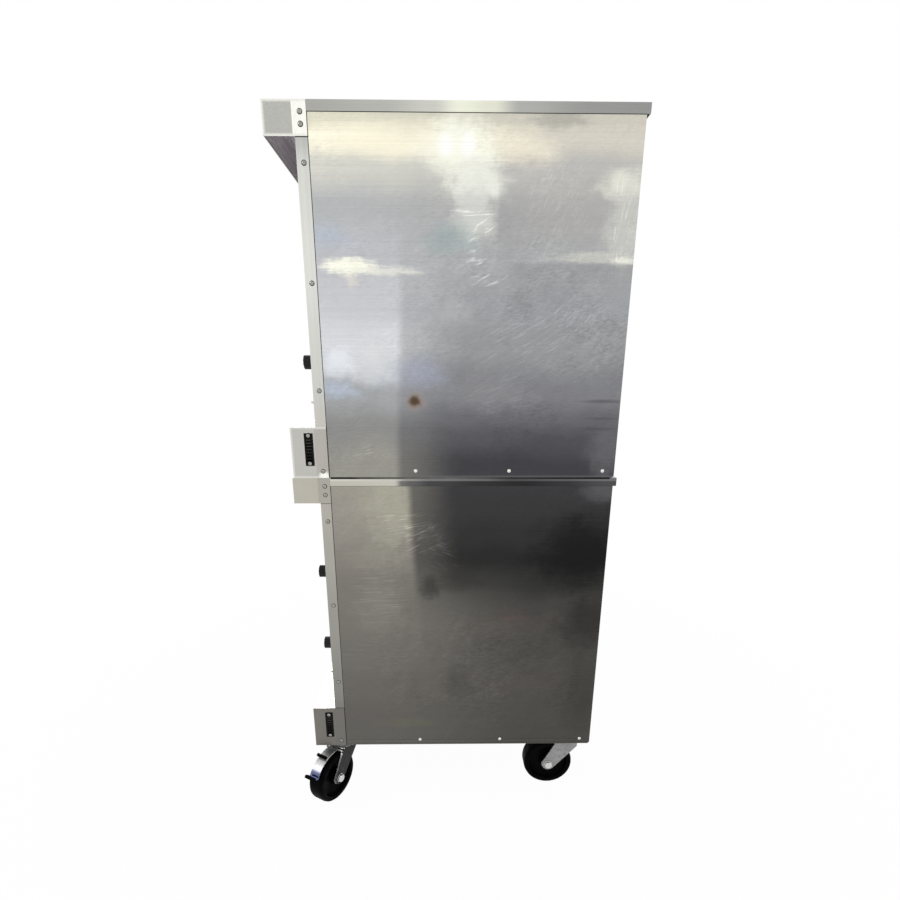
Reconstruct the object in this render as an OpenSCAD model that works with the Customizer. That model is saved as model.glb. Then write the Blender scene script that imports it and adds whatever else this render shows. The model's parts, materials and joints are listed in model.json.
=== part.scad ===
// Double deck convection oven on casters, in millimetres.
// The front faces -Y, the controls are on the +X side and the floor is z = 0.
// Inside the modules y = 0 is the face of the front frame and z = 0 is the foot of a deck.

/* [Cabinet] */
// Width of the front frame and of the side panels, outside to outside
body_w = 965; // [920:5:1040]
// Depth from the front frame's face to the outside of the back panel
body_d = 762; // [720:1:860]
// Height of one deck
deck_h = 813; // [800:1:880]
// Depth of the front frame's side strips
frame_d = 28; // [24:1:40]
// Thickness of the front frame's face
face_t = 2; // [1.5:0.25:4]
// Thickness of the outer sheets
sheet_t = 1.5; // [1:0.25:2.5]
// Width of the folded returns behind the side and back panels
return_d = 14; // [10:1:20]
// Radius of the lower rear corner of the side panels
panel_corner_r = 8; // [4:1:16]
// Open seam between neighbouring sheets
seam = 0.5; // [0.3:0.1:1]
// Height of the folded edge of the top panel
cap_h = 21; // [16:1:30]
// Overhang of the top panel behind the back panel
cap_over = 8; // [5:1:14]

/* [Hood and lower cover] */
// Height of the hood above the doors
hood_h = 67; // [55:1:80]
// Reach of the hood in front of the frame
hood_out = 68; // [58:1:80]
// Height of the cover below the doors
cover_h = 128; // [112:1:140]
// Reach of the lower cover in front of the frame
cover_out = 64; // [56:1:80]
// Width of the vent in the side of the lower cover
vent_w = 22; // [18:1:26]
// Height of that vent
vent_h = 82; // [64:1:90]
// Distance from the frame's face forward to the middle of the vent
vent_y = 19; // [16:1:26]
// Distance from the top of the cover down to the top of the vent
vent_drop = 15; // [10:1:20]
// Thickness of the vent insert's flange
vent_t = 2; // [1.5:0.5:3]
// Number of fins in the vent
vent_fins = 7; // [4:1:9]

/* [Oven cavity] */
// Width of the cavity
cavity_w = 737; // [690:1:742]
// Height of the cavity
cavity_h = 508; // [460:1:516]
// Distance from the cavity's back wall to the outside of the back panel
back_space = 103; // [98:1:130]
// Height of the cavity floor above the foot of the deck
cavity_floor = 172; // [165:1:190]
// Distance from the left outside of the cabinet to the cavity
cavity_left = 38; // [32:1:44]
// Thickness of the cavity liner
liner_t = 1.6; // [1:0.2:2.4]
// Thickness of the insulation round the liner
insulation_t = 24; // [16:1:28]
// Depth of the bottom pan's upturned edge
pan_rim = 25; // [18:1:40]

/* [Doors] */
// Thickness of a door
door_t = 30; // [24:1:34]
// Gap between the frame's face and the doors
door_gap = 4; // [3:0.5:6]
// Gap between the two doors
door_split = 3; // [2:0.5:5]
// Overlap of the doors past the cavity at each side
door_over = 22; // [20:0.5:26]
// Radius of the doors' upright edges
door_edge_r = 8.5; // [8:0.5:9.5]
// Width of a door's window
window_w = 232; // [180:2:260]
// Height of a door's window
window_h = 330; // [260:2:380]
// Width of the raised bezel round the window
bezel_w = 14; // [10:1:20]
// Height of that bezel
bezel_t = 2; // [1:0.5:3]
// Thickness of a window pane
pane_t = 4; // [3:0.5:6]
// Distance from a door's outer edge to its hinge pin
hinge_inset = 10; // [9:0.5:10.5]
// Radius of the hinge pins
pin_r = 5; // [4:0.5:6]
// Thickness of the hinge brackets
bracket_t = 5; // [4:0.5:7]
// Gap between a door's end and its hinge bracket
hinge_gap = 1.5; // [1:0.25:3]
// Width of the door seal
seal_w = 9; // [7:1:10]

/* [Door handle] */
// Diameter of the handle's grip
grip_d = 22; // [18:1:28]
// Length of the handle's grip
grip_l = 300; // [220:5:400]
// Distance from the door's face to the outside of the grip
grip_reach = 54; // [46:1:70]
// Distance from the door's free edge to the grip
grip_inset = 38; // [30:1:60]
// Distance from the grip's ends to its posts
post_inset = 32; // [24:1:50]
// Diameter of the posts
post_d = 14; // [10:1:16]
// Diameter of the foot under each post
foot_d = 26; // [22:1:32]
// Thickness of that foot
foot_t = 3; // [2:0.5:5]

/* [Controls] */
// Width of the control panel
control_w = 110; // [96:1:124]
// Gap between the doors and the control panel
control_gap = 3; // [2:0.5:8]
// Depth of the thermostat's spindle below the top of the deck
thermostat_drop = 295; // [260:1:320]
// Depth of the timer knob below the top of the deck
timer_drop = 527; // [500:1:540]
// Depth of the power switch below the top of the deck
switch_drop = 634; // [615:1:636]
// Depth of the upper lamp below the top of the deck
lamp_drop = 165; // [140:1:190]
// Depth of the lower lamp below the top of the deck
second_lamp_drop = 400; // [380:1:420]
// Diameter of a knob's grip
knob_d = 35; // [28:1:42]
// Diameter of a knob's skirt
skirt_d = 60; // [50:1:70]
// Thickness of a knob's skirt
skirt_t = 6; // [4:1:9]
// Reach of the knobs in front of the frame
knob_out = 42; // [34:1:48]
// Number of flutes round a knob
flutes = 10; // [6:1:16]
// Radius of the knob spindles
spindle_r = 3; // [2.5:0.5:4]
// Reach of the upper thermostat's bare spindle in front of the frame
spindle_out = 12; // [8:1:20]
// Radius of the lamp lenses
lamp_r = 8; // [6:0.5:10]

/* [Racks] */
// Radius of the rods of the racks' frames and of the rack guides
rod_r = 3; // [2.5:0.25:3.5]
// Radius of the racks' cross wires
wire_r = 1.6; // [1.2:0.1:2.2]
// Gap between a rack and the baffle behind it
rack_gap = 13; // [8:1:30]
// Distance from the frame's face to a rack's front
rack_front = 25; // [24:1:30]
// Spacing of the racks' cross wires
wire_pitch = 29; // [22:1:40]
// Number of rungs in a rack guide
rungs = 9; // [7:1:10]
// Spacing of the rungs
rung_pitch = 46; // [42:1:48]
// Height of the lowest rung above the cavity floor
rung_first = 58; // [45:1:70]
// Rung that carries the lower rack
low_rung = 1; // [1:1:2]
// Rung that carries the upper rack
high_rung = 5; // [4:1:6]

/* [Blower] */
// Diameter of the blower wheel
blower_d = 300; // [260:2:320]
// Width of the blower wheel
blower_w = 46; // [36:1:48]
// Number of blades
blades = 24; // [12:1:32]
// Radial depth of a blade
blade_d = 30; // [22:1:40]
// Thickness of the blades and plates
blade_t = 1.6; // [1.2:0.2:2.4]
// Radius of the blower shaft
shaft_r = 6; // [5:0.5:8]
// Distance from the baffle to the cavity's back wall
plenum_d = 66; // [62:1:72]
// Radius of the motor
motor_r = 52; // [44:1:58]
// Length of the motor
motor_l = 62; // [50:1:64]
// Radius of the heating element's tube
element_r = 4; // [3:0.5:5]
// Gap between the blower wheel and the heating element
element_gap = 22; // [16:1:34]

/* [Casters] */
// Height of a caster, floor to cabinet
caster_h = 190; // [184:1:210]
// Diameter of a wheel
wheel_d = 152; // [140:1:156]
// Width of a tread
wheel_w = 50; // [40:1:54]
// Distance from the swivel axis to the wheel's axle, seen from above
trail = 58; // [50:1:64]
// Angle of the front casters, turned outward from straight ahead
front_turn = 60; // [0:5:90]
// Distance from a side of the cabinet to the front swivel axes
front_caster_side = 60; // [56:1:90]
// Distance from a side of the cabinet to the rear swivel axes
rear_caster_side = 78; // [60:1:100]
// Distance from the front of the lower cover to the front swivel axes
caster_front = 67; // [60:1:90]
// Distance from the back panel to the rear swivel axes
caster_back = 51; // [50:1:90]
// Side of a caster's square top plate
plate_w = 100; // [92:1:102]
// Thickness of the top plate
plate_t = 6; // [5:0.5:8]
// Thickness of the fork's sheet
fork_t = 5; // [4:0.5:6]
// Radius of the axle
axle_r = 6; // [5:0.5:8]
// Radius of the swivel pin
kingpin_r = 8; // [7:0.5:10]
// Width of the brake pedal
pedal_w = 32; // [24:1:44]
// Thickness of the brake pedal
pedal_t = 3; // [2:0.5:5]
// Gap between the released brake shoe and the tread
pedal_gap = 8; // [6:0.5:12]
// Length of the brake pedal's step
pedal_step = 24; // [16:1:28]

/* [Fasteners and fits] */
// Radius of a screw's head
head_r = 4.5; // [3.5:0.25:5.5]
// Height of a screw's head
head_h = 2.6; // [2:0.2:3.4]
// Radius of a screw's shank
shank_r = 2; // [1.5:0.25:2.5]
// Radius of the cable hole in the back panel
conduit_r = 17; // [11:0.5:22]
// Running clearance round shafts and pins
run_fit = 0.05; // [0.02:0.01:0.1]
// Gap between pieces that lie close without touching
rest_gap = 0.3; // [0.2:0.05:0.5]
// Clearance round a shank or a tube in its hole
hole_fit = 0.3; // [0.2:0.05:0.6]

/* [Hidden] */
$fn = 64;

// Colours
steel = [0.72, 0.72, 0.70];
steel_dark = [0.50, 0.50, 0.48];
enamel = [0.16, 0.17, 0.20];
black = [0.05, 0.05, 0.05];
chrome = [0.85, 0.85, 0.87];
zinc = [0.66, 0.68, 0.70];
glass = [0.25, 0.28, 0.30, 0.45];
wool = [0.80, 0.74, 0.55];
amber = [0.85, 0.35, 0.08];

// Small overlap that makes cuts clean
cut = 1;

// Heights on a deck
cap_top = deck_h;
frame_h = deck_h - sheet_t;
hood_z = deck_h - hood_h;
lower_bracket_z = cover_h + seam;
door_z = lower_bracket_z + bracket_t + hinge_gap;
upper_bracket_z = hood_z - seam - bracket_t;
door_h = upper_bracket_z - hinge_gap - door_z;
cavity_top = cavity_floor + cavity_h;
cavity_mid_z = cavity_floor + cavity_h / 2;

// Places across the front
side_x = body_w / 2;
cavity_x = -side_x + cavity_left;
cavity_mid_x = cavity_x + cavity_w / 2;
door_x = cavity_x - door_over;
doors_w = cavity_w + 2 * door_over;
door_w = (doors_w - door_split) / 2;
control_x = door_x + doors_w + control_gap;
knob_x = control_x + control_w / 2;
screw_x = side_x + sheet_t;

// Depths
cavity_d = body_d - back_space;
door_back = -door_gap;
door_front = door_back - door_t;
hinge_y = (door_back + door_front) / 2;
control_front = -sheet_t;
grip_y = door_front - grip_reach + grip_d / 2;
panel_y = frame_d + seam;
panel_d = body_d - panel_y;
baffle_y = cavity_d - plenum_d;
rack_d = baffle_y - rack_gap - rack_front;
blower_y = baffle_y + (plenum_d - blower_w) / 2;
motor_y = cavity_d + liner_t + insulation_t + rest_gap;
back_d = sheet_t + return_d;

// Casters
wheel_r = wheel_d / 2;
fork_gap = wheel_w + 2 * 2.5;
hub_w = fork_gap - 2 * rest_gap;
crown_z = wheel_d + 6;
race_z = crown_z + fork_t;
race_r = plate_w * 0.38;
function swivel_x(front) = side_x - (front ? front_caster_side : rear_caster_side);
front_swivel_y = -cover_out + caster_front;
rear_swivel_y = body_d - caster_back;

// Middle of the whole object from front to back
grip_front = grip_reach - door_front;
shoe_r = wheel_r + pedal_gap;
shoe_end = 150;
pedal_reach = trail - (shoe_r + pedal_step) * cos(shoe_end);
wheel_front = trail * cos(front_turn) - front_swivel_y + wheel_r * cos(front_turn)
    + wheel_w / 2 * sin(front_turn);
pedal_front = pedal_reach * cos(front_turn) + pedal_w / 2 * sin(front_turn) - front_swivel_y;
front_reach = max(grip_front, hood_out, cover_out, knob_out, wheel_front, pedal_front);
back_reach = body_d + cap_over;
middle_y = (back_reach - front_reach) / 2;

// Screws of one side of a deck: how far back, and how high
strip_screws = [for (drop = [0.143, 0.439, 0.735]) [frame_d * 0.56, deck_h * (1 - drop)]];
hood_screws = [for (drop = [0.33, 0.67]) [frame_d * 0.5, deck_h - drop * hood_h]];
cover_screws = [[frame_d * 0.45, 17]];
panel_screws = [for (part = [0.301, 0.629, 0.958]) [panel_y + panel_d * part, 18]];
vent_screws = [for (end = [-1, 1]) [-vent_y, cover_h - vent_drop - vent_h / 2 + end * (vent_h / 2 - 6)]];
// Screws of a back panel: how far across, and how high
back_screws = [for (x = [-1, 0, 1], z = [20, deck_h / 2, deck_h - cap_h - 20])
    [x * (side_x - return_d - 12), z]];
control_screws = [for (x = [-1, 1], z = [door_z + 12, door_z + door_h - 12])
    [knob_x + x * (control_w / 2 - 8), z]];

// Placing
module oven() translate([0, -middle_y, 0]) children();
module on_deck(deck) oven() translate([0, 0, caster_h + deck * deck_h]) children();
module on_both_decks() for (deck = [0, 1]) on_deck(deck) children();
module both_sides() {
    children();
    mirror([1, 0, 0]) children();
}
module along_y(r, from, to) translate([0, from, 0]) rotate([-90, 0, 0]) cylinder(r = r, h = to - from);
module along_x(r, from, to) translate([from, 0, 0]) rotate([0, 90, 0]) cylinder(r = r, h = to - from);
module block(from, to) translate(from) cube(to - from);

// Drawn rods and wires, twelve-sided
module rod_along_y(r, from, to) translate([0, from, 0]) rotate([-90, 0, 0])
    cylinder(r = r, h = to - from, $fn = 12);
module rod_along_x(r, from, to) translate([from, 0, 0]) rotate([0, 90, 0])
    cylinder(r = r, h = to - from, $fn = 12);
module rod_along_z(r, from, to) translate([0, 0, from]) cylinder(r = r, h = to - from, $fn = 12);

// Upright plate in the YZ plane with one rounded lower rear corner
module panel_outline(inset) {
    r = panel_corner_r;
    x0 = panel_y + inset;
    x1 = body_d - inset;
    z0 = inset;
    z1 = frame_h - inset;
    difference() {
        translate([x0, z0]) square([x1 - x0, z1 - z0]);
        translate([x1 - r, z0 - cut]) square([r + cut, r + cut]);
    }
    translate([x1 - r, z0 + r]) circle(r = r);
}
module stand_on_side(from, to) translate([from, 0, 0])
    multmatrix([[0, 0, 1, 0], [1, 0, 0, 0], [0, 1, 0, 0]]) linear_extrude(to - from) children();

// Fasteners
module screw() {
    intersection() {
        cylinder(r = head_r, h = head_h);
        translate([0, 0, head_h - head_r * 1.6]) sphere(r = head_r * 1.6);
    }
    translate([0, 0, -6]) cylinder(r = shank_r, h = 6 + head_h / 2);
}
module screw_hole() translate([0, 0, -8]) cylinder(r = shank_r + hole_fit, h = 16);
module on_right(places, x) for (p = places) translate([x, p[0], p[1]]) rotate([0, 90, 0]) children();
module on_front(places, y) for (p = places) translate([p[0], y, p[1]]) rotate([90, 0, 0]) children();
module on_back(places, y) for (p = places) translate([p[0], y, p[1]]) rotate([-90, 0, 0]) children();

module screws() color(chrome) on_both_decks() {
    both_sides() {
        on_right(strip_screws, side_x) screw();
        on_right(hood_screws, screw_x) screw();
        on_right(cover_screws, screw_x) screw();
        on_right(panel_screws, side_x) screw();
        on_right(vent_screws, screw_x + vent_t) screw();
    }
    on_back(back_screws, body_d) screw();
    on_front(control_screws, control_front) screw();
}

// Front frame: a face with folded sides, open behind
module front_frame() color(steel) difference() {
    block([-side_x, 0, 0], [side_x, frame_d, frame_h]);
    block([-side_x + sheet_t, face_t, sheet_t], [side_x - sheet_t, frame_d + cut, frame_h - sheet_t]);
    block([cavity_x, -cut, cavity_floor], [cavity_x + cavity_w, face_t + cut, cavity_top]);
    block([control_x + 14, -cut, door_z + 24],
          [control_x + control_w - 14, face_t + cut, door_z + door_h - 24]);
    on_front(control_screws, 0) screw_hole();
    both_sides() on_right(concat(strip_screws, hood_screws, cover_screws), side_x) screw_hole();
}

// Brackets that hold the doors' hinge pins
hinge_left_x = door_x + hinge_inset;
hinge_right_x = door_x + doors_w - hinge_inset;
module bracket(x, z) difference() {
    union() {
        block([x - 15, hinge_y, z], [x + 15, 0, z + bracket_t]);
        translate([x, hinge_y, z]) cylinder(r = door_t / 2, h = bracket_t);
    }
    translate([x, hinge_y, z - cut]) cylinder(r = pin_r + run_fit, h = bracket_t + 2 * cut);
}
module hinge_brackets() color(zinc) on_both_decks()
    for (x = [hinge_left_x, hinge_right_x], z = [lower_bracket_z, upper_bracket_z]) bracket(x, z);

// Hood over the doors: open below, its ends lap the frame
module top_hood() color(steel) difference() {
    block([-screw_x, -hood_out, hood_z], [screw_x, frame_d - seam, deck_h]);
    block([-side_x, -hood_out + sheet_t, hood_z - cut], [side_x, frame_d, deck_h - sheet_t]);
    both_sides() on_right(hood_screws, screw_x) screw_hole();
}

// Cover below the doors: a box in front of the frame, its ends lap the frame
module bottom_cover() color(steel) difference() {
    union() {
        difference() {
            block([-screw_x, -cover_out, 0], [screw_x, 0, cover_h]);
            block([-side_x, -cover_out + sheet_t, sheet_t], [side_x, cut, cover_h - sheet_t]);
        }
        both_sides() block([side_x, -cut, 0], [screw_x, frame_d - seam - 1, cover_h]);
    }
    both_sides() {
        block([side_x - cut, -vent_y - vent_w / 2 + vent_t, cover_h - vent_drop - vent_h + 12],
              [screw_x + cut, -vent_y + vent_w / 2 - vent_t, cover_h - vent_drop - 12]);
        on_right(concat(cover_screws, vent_screws), screw_x) screw_hole();
    }
}

// Black vent inserts with slanting fins
module side_vent() difference() {
    fin_space = (vent_h - 24) / vent_fins;
    top = cover_h - vent_drop;
    block([screw_x, -vent_y - vent_w / 2, top - vent_h], [screw_x + vent_t, -vent_y + vent_w / 2, top]);
    for (k = [0 : vent_fins - 1])
        translate([screw_x - cut, -vent_y - vent_w / 2 + 4, top - 12 - (k + 0.8) * fin_space])
            rotate([0, 25, 0]) cube([3 * vent_t + 2 * cut, vent_w - 8, fin_space * 0.45]);
    on_right(vent_screws, screw_x) screw_hole();
}
module side_vents() color(black) on_both_decks() both_sides() side_vent();

// Side panel with folded returns
module side_panel() color(steel) difference() {
    stand_on_side(side_x - return_d, side_x) panel_outline(0);
    stand_on_side(side_x - return_d - cut, side_x - sheet_t) panel_outline(sheet_t);
    on_right(panel_screws, side_x) screw_hole();
}

// Top panel: a lid whose folded edges lap the sides and hang behind the back
module top_panel() color(steel) difference() {
    block([-screw_x, frame_d, deck_h - cap_h], [screw_x, body_d + cap_over, deck_h]);
    block([-side_x, frame_d - cut, deck_h - cap_h - cut],
          [side_x, body_d + cap_over - sheet_t, deck_h - sheet_t]);
}

// Bottom pan inside the panels
module bottom_pan() difference() {
    x = side_x - return_d - seam;
    block([-x, panel_y, 0], [x, body_d - back_d - seam, pan_rim]);
    block([-x + sheet_t, panel_y + sheet_t, sheet_t],
          [x - sheet_t, body_d - back_d - seam - sheet_t, pan_rim + cut]);
}
module bottom_pans() color(zinc) on_both_decks() bottom_pan();

// Back panel with folded returns, cooling slots and a cable hole
conduit_x = -side_x * 0.72;
conduit_z = 92;
slots = 9;
module back_panel() difference() {
    x = side_x - return_d - seam;
    block([-x, body_d - return_d, 0], [x, body_d, frame_h - seam]);
    block([-x + sheet_t, body_d - return_d - cut, sheet_t],
          [x - sheet_t, body_d - sheet_t, frame_h - seam - sheet_t]);
    translate([conduit_x, 0, conduit_z]) along_y(conduit_r, body_d - return_d, body_d + cut);
    for (k = [0 : slots - 1], side = [-1, 1])
        translate([cavity_mid_x + side * 170, 0, cavity_mid_z + (k - (slots - 1) / 2) * 22]) {
            along_y(3, body_d - return_d, body_d + cut);
            translate([60 * side, 0, 0]) along_y(3, body_d - return_d, body_d + cut);
            block([min(0, 60 * side), body_d - return_d, -3], [max(0, 60 * side), body_d + cut, 3]);
        }
    on_back(back_screws, body_d) screw_hole();
}
module back_panels() color(zinc) on_both_decks() back_panel();

// Cavity liner: a box open to the front, with the holes of the blower and the heating element
element_ring = blower_d / 2 + element_gap + element_r;
element_leg_x = 24;
element_leg_z = -sqrt(element_ring * element_ring - element_leg_x * element_leg_x);
element_y = blower_y + blower_w * 0.3;
second_element_y = blower_y + blower_w * 0.75;
module at_cavity_middle() translate([cavity_mid_x, 0, cavity_mid_z]) children();
module leg_holes(clearance) at_cavity_middle() for (side = [-1, 1])
    translate([side * element_leg_x, 0, element_leg_z])
        along_y(element_r + clearance, cavity_d - cut, cavity_d + liner_t + insulation_t + cut);
module cavity() color(enamel) difference() {
    block([cavity_x - liner_t, face_t, cavity_floor - liner_t],
          [cavity_x + cavity_w + liner_t, cavity_d + liner_t, cavity_top + liner_t]);
    block([cavity_x, face_t - cut, cavity_floor], [cavity_x + cavity_w, cavity_d, cavity_top]);
    at_cavity_middle() along_y(shaft_r + 3, cavity_d - cut, cavity_d + liner_t + cut);
    leg_holes(hole_fit);
}

// Insulation wrapped round the liner
module insulation_blanket() difference() {
    t = liner_t + insulation_t;
    skin = liner_t + rest_gap;
    front = panel_y + sheet_t + rest_gap;
    block([cavity_x - t, front, cavity_floor - t], [cavity_x + cavity_w + t, cavity_d + t, cavity_top + t]);
    block([cavity_x - skin, front - cut, cavity_floor - skin],
          [cavity_x + cavity_w + skin, cavity_d + skin, cavity_top + skin]);
    at_cavity_middle() along_y(motor_r + 8, cavity_d, cavity_d + t + cut);
    leg_holes(2 * hole_fit);
}
module insulation() color(wool) on_both_decks() insulation_blanket();

// Doors: side is -1 for the left door and 1 for the right one
function door_left_edge(side) = side < 0 ? door_x : door_x + door_w + door_split;
function hinge_x(side) = side < 0 ? hinge_left_x : hinge_right_x;
function window_mid(side) = door_left_edge(side) + door_w / 2;
window_z = door_z + (door_h - window_h) / 2;
module rounded_slab(x0, y0, x1, y1, r, z0, z1) translate([0, 0, z0]) linear_extrude(z1 - z0) union() {
    translate([x0 + r, y0]) square([x1 - x0 - 2 * r, y1 - y0]);
    translate([x0, y0 + r]) square([x1 - x0, y1 - y0 - 2 * r]);
    for (x = [x0 + r, x1 - r], y = [y0 + r, y1 - r]) translate([x, y]) circle(r = r);
}
module window_block(side, grow, from, to)
    block([window_mid(side) - window_w / 2 - grow, from, window_z - grow],
          [window_mid(side) + window_w / 2 + grow, to, window_z + window_h + grow]);
module door(side) color(steel) {
    x0 = door_left_edge(side);
    difference() {
        union() {
            rounded_slab(x0, door_front, x0 + door_w, door_back, door_edge_r, door_z, door_z + door_h);
            window_block(side, bezel_w, door_front - bezel_t, door_back - cut);
        }
        window_block(side, 0, door_front - bezel_t - cut, door_back + cut);
    }
    for (z = [lower_bracket_z, door_z + door_h - cut])
        translate([hinge_x(side), hinge_y, z]) cylinder(r = pin_r, h = bracket_t + hinge_gap + cut);
}
module door_glass(side) color(glass) {
    window_block(side, -rest_gap, door_front, door_front + pane_t);
    window_block(side, -rest_gap, door_back - pane_t - 1, door_back - 1);
}
module door_handle() color(chrome) {
    x = door_left_edge(1) + grip_inset;
    mid_z = door_z + door_h / 2;
    translate([x, grip_y, mid_z - grip_l / 2]) cylinder(d = grip_d, h = grip_l);
    for (end = [-1, 1]) translate([x, 0, mid_z + end * (grip_l / 2 - post_inset)]) {
        along_y(post_d / 2, grip_y, door_front);
        along_y(foot_d / 2, door_front - foot_t, door_front);
    }
    for (end = [-1, 1]) translate([x, grip_y, mid_z + end * grip_l / 2]) sphere(d = grip_d);
}

// Seal round the mouth of the cavity
module door_seal() difference() {
    grow = seal_w;
    t = door_gap - rest_gap;
    block([cavity_x - grow, -t, cavity_floor - grow], [cavity_x + cavity_w + grow, 0, cavity_top + grow]);
    block([cavity_x, -t - cut, cavity_floor], [cavity_x + cavity_w, cut, cavity_top]);
}
module door_seals() color(black) on_both_decks() door_seal();

// Controls
knob_places = [[knob_x, deck_h - thermostat_drop], [knob_x, deck_h - timer_drop]];
switch_z = deck_h - switch_drop;
lamp_places = [[knob_x, deck_h - lamp_drop], [knob_x, deck_h - second_lamp_drop]];
switch_r = 6;
control_body_d = 42;
control_body_r = control_w * 0.22;
module control_panel() difference() {
    block([control_x, control_front, door_z], [control_x + control_w, 0, door_z + door_h]);
    on_front(knob_places, 0) translate([0, 0, -cut]) cylinder(r = spindle_r + 1, h = 4);
    on_front(lamp_places, 0) translate([0, 0, -cut]) cylinder(r = lamp_r + hole_fit, h = 4);
    on_front([[knob_x, switch_z]], 0) translate([0, 0, -cut]) cylinder(r = switch_r + hole_fit, h = 4);
    on_front(control_screws, 0) screw_hole();
}
module control_panels() color(steel) on_both_decks() control_panel();

// Thermostat, timer and switch behind the panel
module control_bodies() color(black) on_both_decks() {
    for (p = knob_places) translate([p[0], 0, p[1]]) difference() {
        block([-control_body_r, 0, -control_body_r], [control_body_r, control_body_d, control_body_r]);
        along_y(spindle_r + run_fit, -cut, 24);
    }
    translate([knob_x, 0, switch_z]) difference() {
        union() {
            block([-9, 0, -16], [9, 26, 16]);
            along_y(switch_r, control_front - 7, cut);
            translate([0, control_front, 0]) rotate([90, 0, 0]) cylinder(r = 9, h = 3, $fn = 6);
        }
        along_y(switch_r - 1.6, control_front - 8, 12);
    }
}
module indicator_lamps() color(amber) on_both_decks() for (p = lamp_places) translate([p[0], 0, p[1]]) {
    along_y(lamp_r, control_front - 1, 18);
    along_y(lamp_r + 2, control_front - 2, control_front);
    intersection() {
        translate([0, control_front + 2, 0]) sphere(r = lamp_r);
        along_y(lamp_r, control_front - 8, control_front);
    }
}
flute_r = 3.2;
flute_stop = 1;
module knob() {
    back = control_front - rest_gap;
    difference() {
        union() {
            along_y(skirt_d / 2, back - skirt_t, back);
            along_y(knob_d / 2, -knob_out, back - skirt_t + cut);
        }
        for (k = [0 : flutes - 1]) rotate([0, k * 360 / flutes, 0])
            translate([(knob_d + flute_r) / 2, 0, 0])
                along_y(flute_r, -knob_out - cut, back - skirt_t - flute_stop);
        block([-1, -knob_out - cut, knob_d / 2 - 11], [1, -knob_out + 1.2, knob_d / 2 + cut]);
    }
    along_y(spindle_r, back - cut, 20);
}
module thermostat_knob() color(black) translate([knob_x, 0, deck_h - thermostat_drop]) knob();

// Spindle without a knob, flattened along its top
module thermostat_spindle() color(zinc) translate([knob_x, 0, deck_h - thermostat_drop]) difference() {
    along_y(spindle_r, -spindle_out, 20);
    block([-spindle_r - cut, -spindle_out - cut, spindle_r / 2], [spindle_r + cut, -3, spindle_r + cut]);
}
module timer_knob() color(black) translate([knob_x, 0, deck_h - timer_drop]) knob();

// Power switch lever: it tips about the ball in the switch's collar
lever_l = 26;
lever_tilt = 12;
lever_y = control_front - 4;
module power_switch() color(chrome) translate([knob_x, lever_y, switch_z]) {
    sphere(r = 3.6);
    along_x(1.2, -4.1, 4.1);
    rotate([90 - lever_tilt, 0, 0]) {
        cylinder(r1 = 1.8, r2 = 2.8, h = lever_l);
        translate([0, 0, lever_l]) sphere(r = 2.8);
    }
}

// Rack guides: three uprights and their rungs on each side wall
guide_x = 4 + rod_r;
rung_x = guide_x + 5;
rack_x = guide_x + 2 * rod_r + 1;
guide_front = rack_front + 25;
guide_back = rack_front + rack_d - 15;
function rung_z(k) = cavity_floor + rung_first + k * rung_pitch;
module rack_guide() {
    foot = cavity_floor + rung_first - 30;
    head = rung_z(rungs - 1) + 24;
    for (y = [guide_front + 20, (guide_front + guide_back) / 2, guide_back - 20]) {
        translate([guide_x, y, 0]) rod_along_z(rod_r, foot, head);
        for (z = [foot + 8, head - 8]) translate([0, y, z]) rod_along_x(rod_r + 1, 0, guide_x);
    }
    for (k = [0 : rungs - 1])
        translate([rung_x, 0, rung_z(k)]) rod_along_y(rod_r, guide_front, guide_back);
}
module rack_guides() color(chrome) on_both_decks() {
    translate([cavity_x, 0, 0]) rack_guide();
    translate([cavity_x + cavity_w, 0, 0]) mirror([1, 0, 0]) rack_guide();
}

// Wire rack that lies on two rungs
module rack(k) color(chrome) {
    x0 = cavity_x + rack_x;
    x1 = cavity_x + cavity_w - rack_x;
    y1 = rack_front + rack_d;
    wires = floor((x1 - x0) / wire_pitch);
    pitch = (x1 - x0) / wires;
    translate([0, 0, rung_z(k) + 2 * rod_r + rest_gap]) {
        for (x = [x0, x1]) translate([x, 0, 0]) rod_along_y(rod_r, rack_front, y1);
        for (y = [rack_front + rod_r, y1 - rod_r]) translate([0, y, 0]) rod_along_x(rod_r, x0, x1);
        for (i = [1 : wires - 1]) translate([x0 + i * pitch, 0, rod_r - wire_r])
            rod_along_y(wire_r, rack_front + rod_r, y1 - rod_r);
        for (y = [rack_front + rack_d / 3, rack_front + 2 * rack_d / 3])
            translate([0, y, -wire_r]) rod_along_x(rod_r - 0.4, x0, x1);
    }
}

// Baffle in front of the blower, on four posts, with a round inlet and its guard
baffle_edge = 28;
inlet_r = blower_d / 2 - blade_d - 4;
module fan_baffle() {
    post_x = cavity_w / 2 - baffle_edge - 40;
    post_z = cavity_h / 2 - baffle_edge - 30;
    at_cavity_middle() {
        difference() {
            block([-cavity_w / 2 + baffle_edge, baffle_y, -cavity_h / 2 + baffle_edge],
                  [cavity_w / 2 - baffle_edge, baffle_y + 2, cavity_h / 2 - baffle_edge]);
            along_y(inlet_r, baffle_y - cut, baffle_y + 2 + cut);
        }
        for (ring = [1 : 3]) difference() {
            along_y(inlet_r * ring / 4 + 1.5, baffle_y, baffle_y + 2);
            along_y(inlet_r * ring / 4 - 1.5, baffle_y - cut, baffle_y + 2 + cut);
        }
        for (turn = [0 : 60 : 120]) rotate([0, turn, 0])
            block([-inlet_r - 1, baffle_y, -1.5], [inlet_r + 1, baffle_y + 2, 1.5]);
        for (x = [-post_x, post_x], z = [-post_z, post_z])
            translate([x, 0, z]) along_y(5, baffle_y + 1, cavity_d);
    }
}
module fan_baffles() color(enamel) on_both_decks() fan_baffle();

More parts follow.
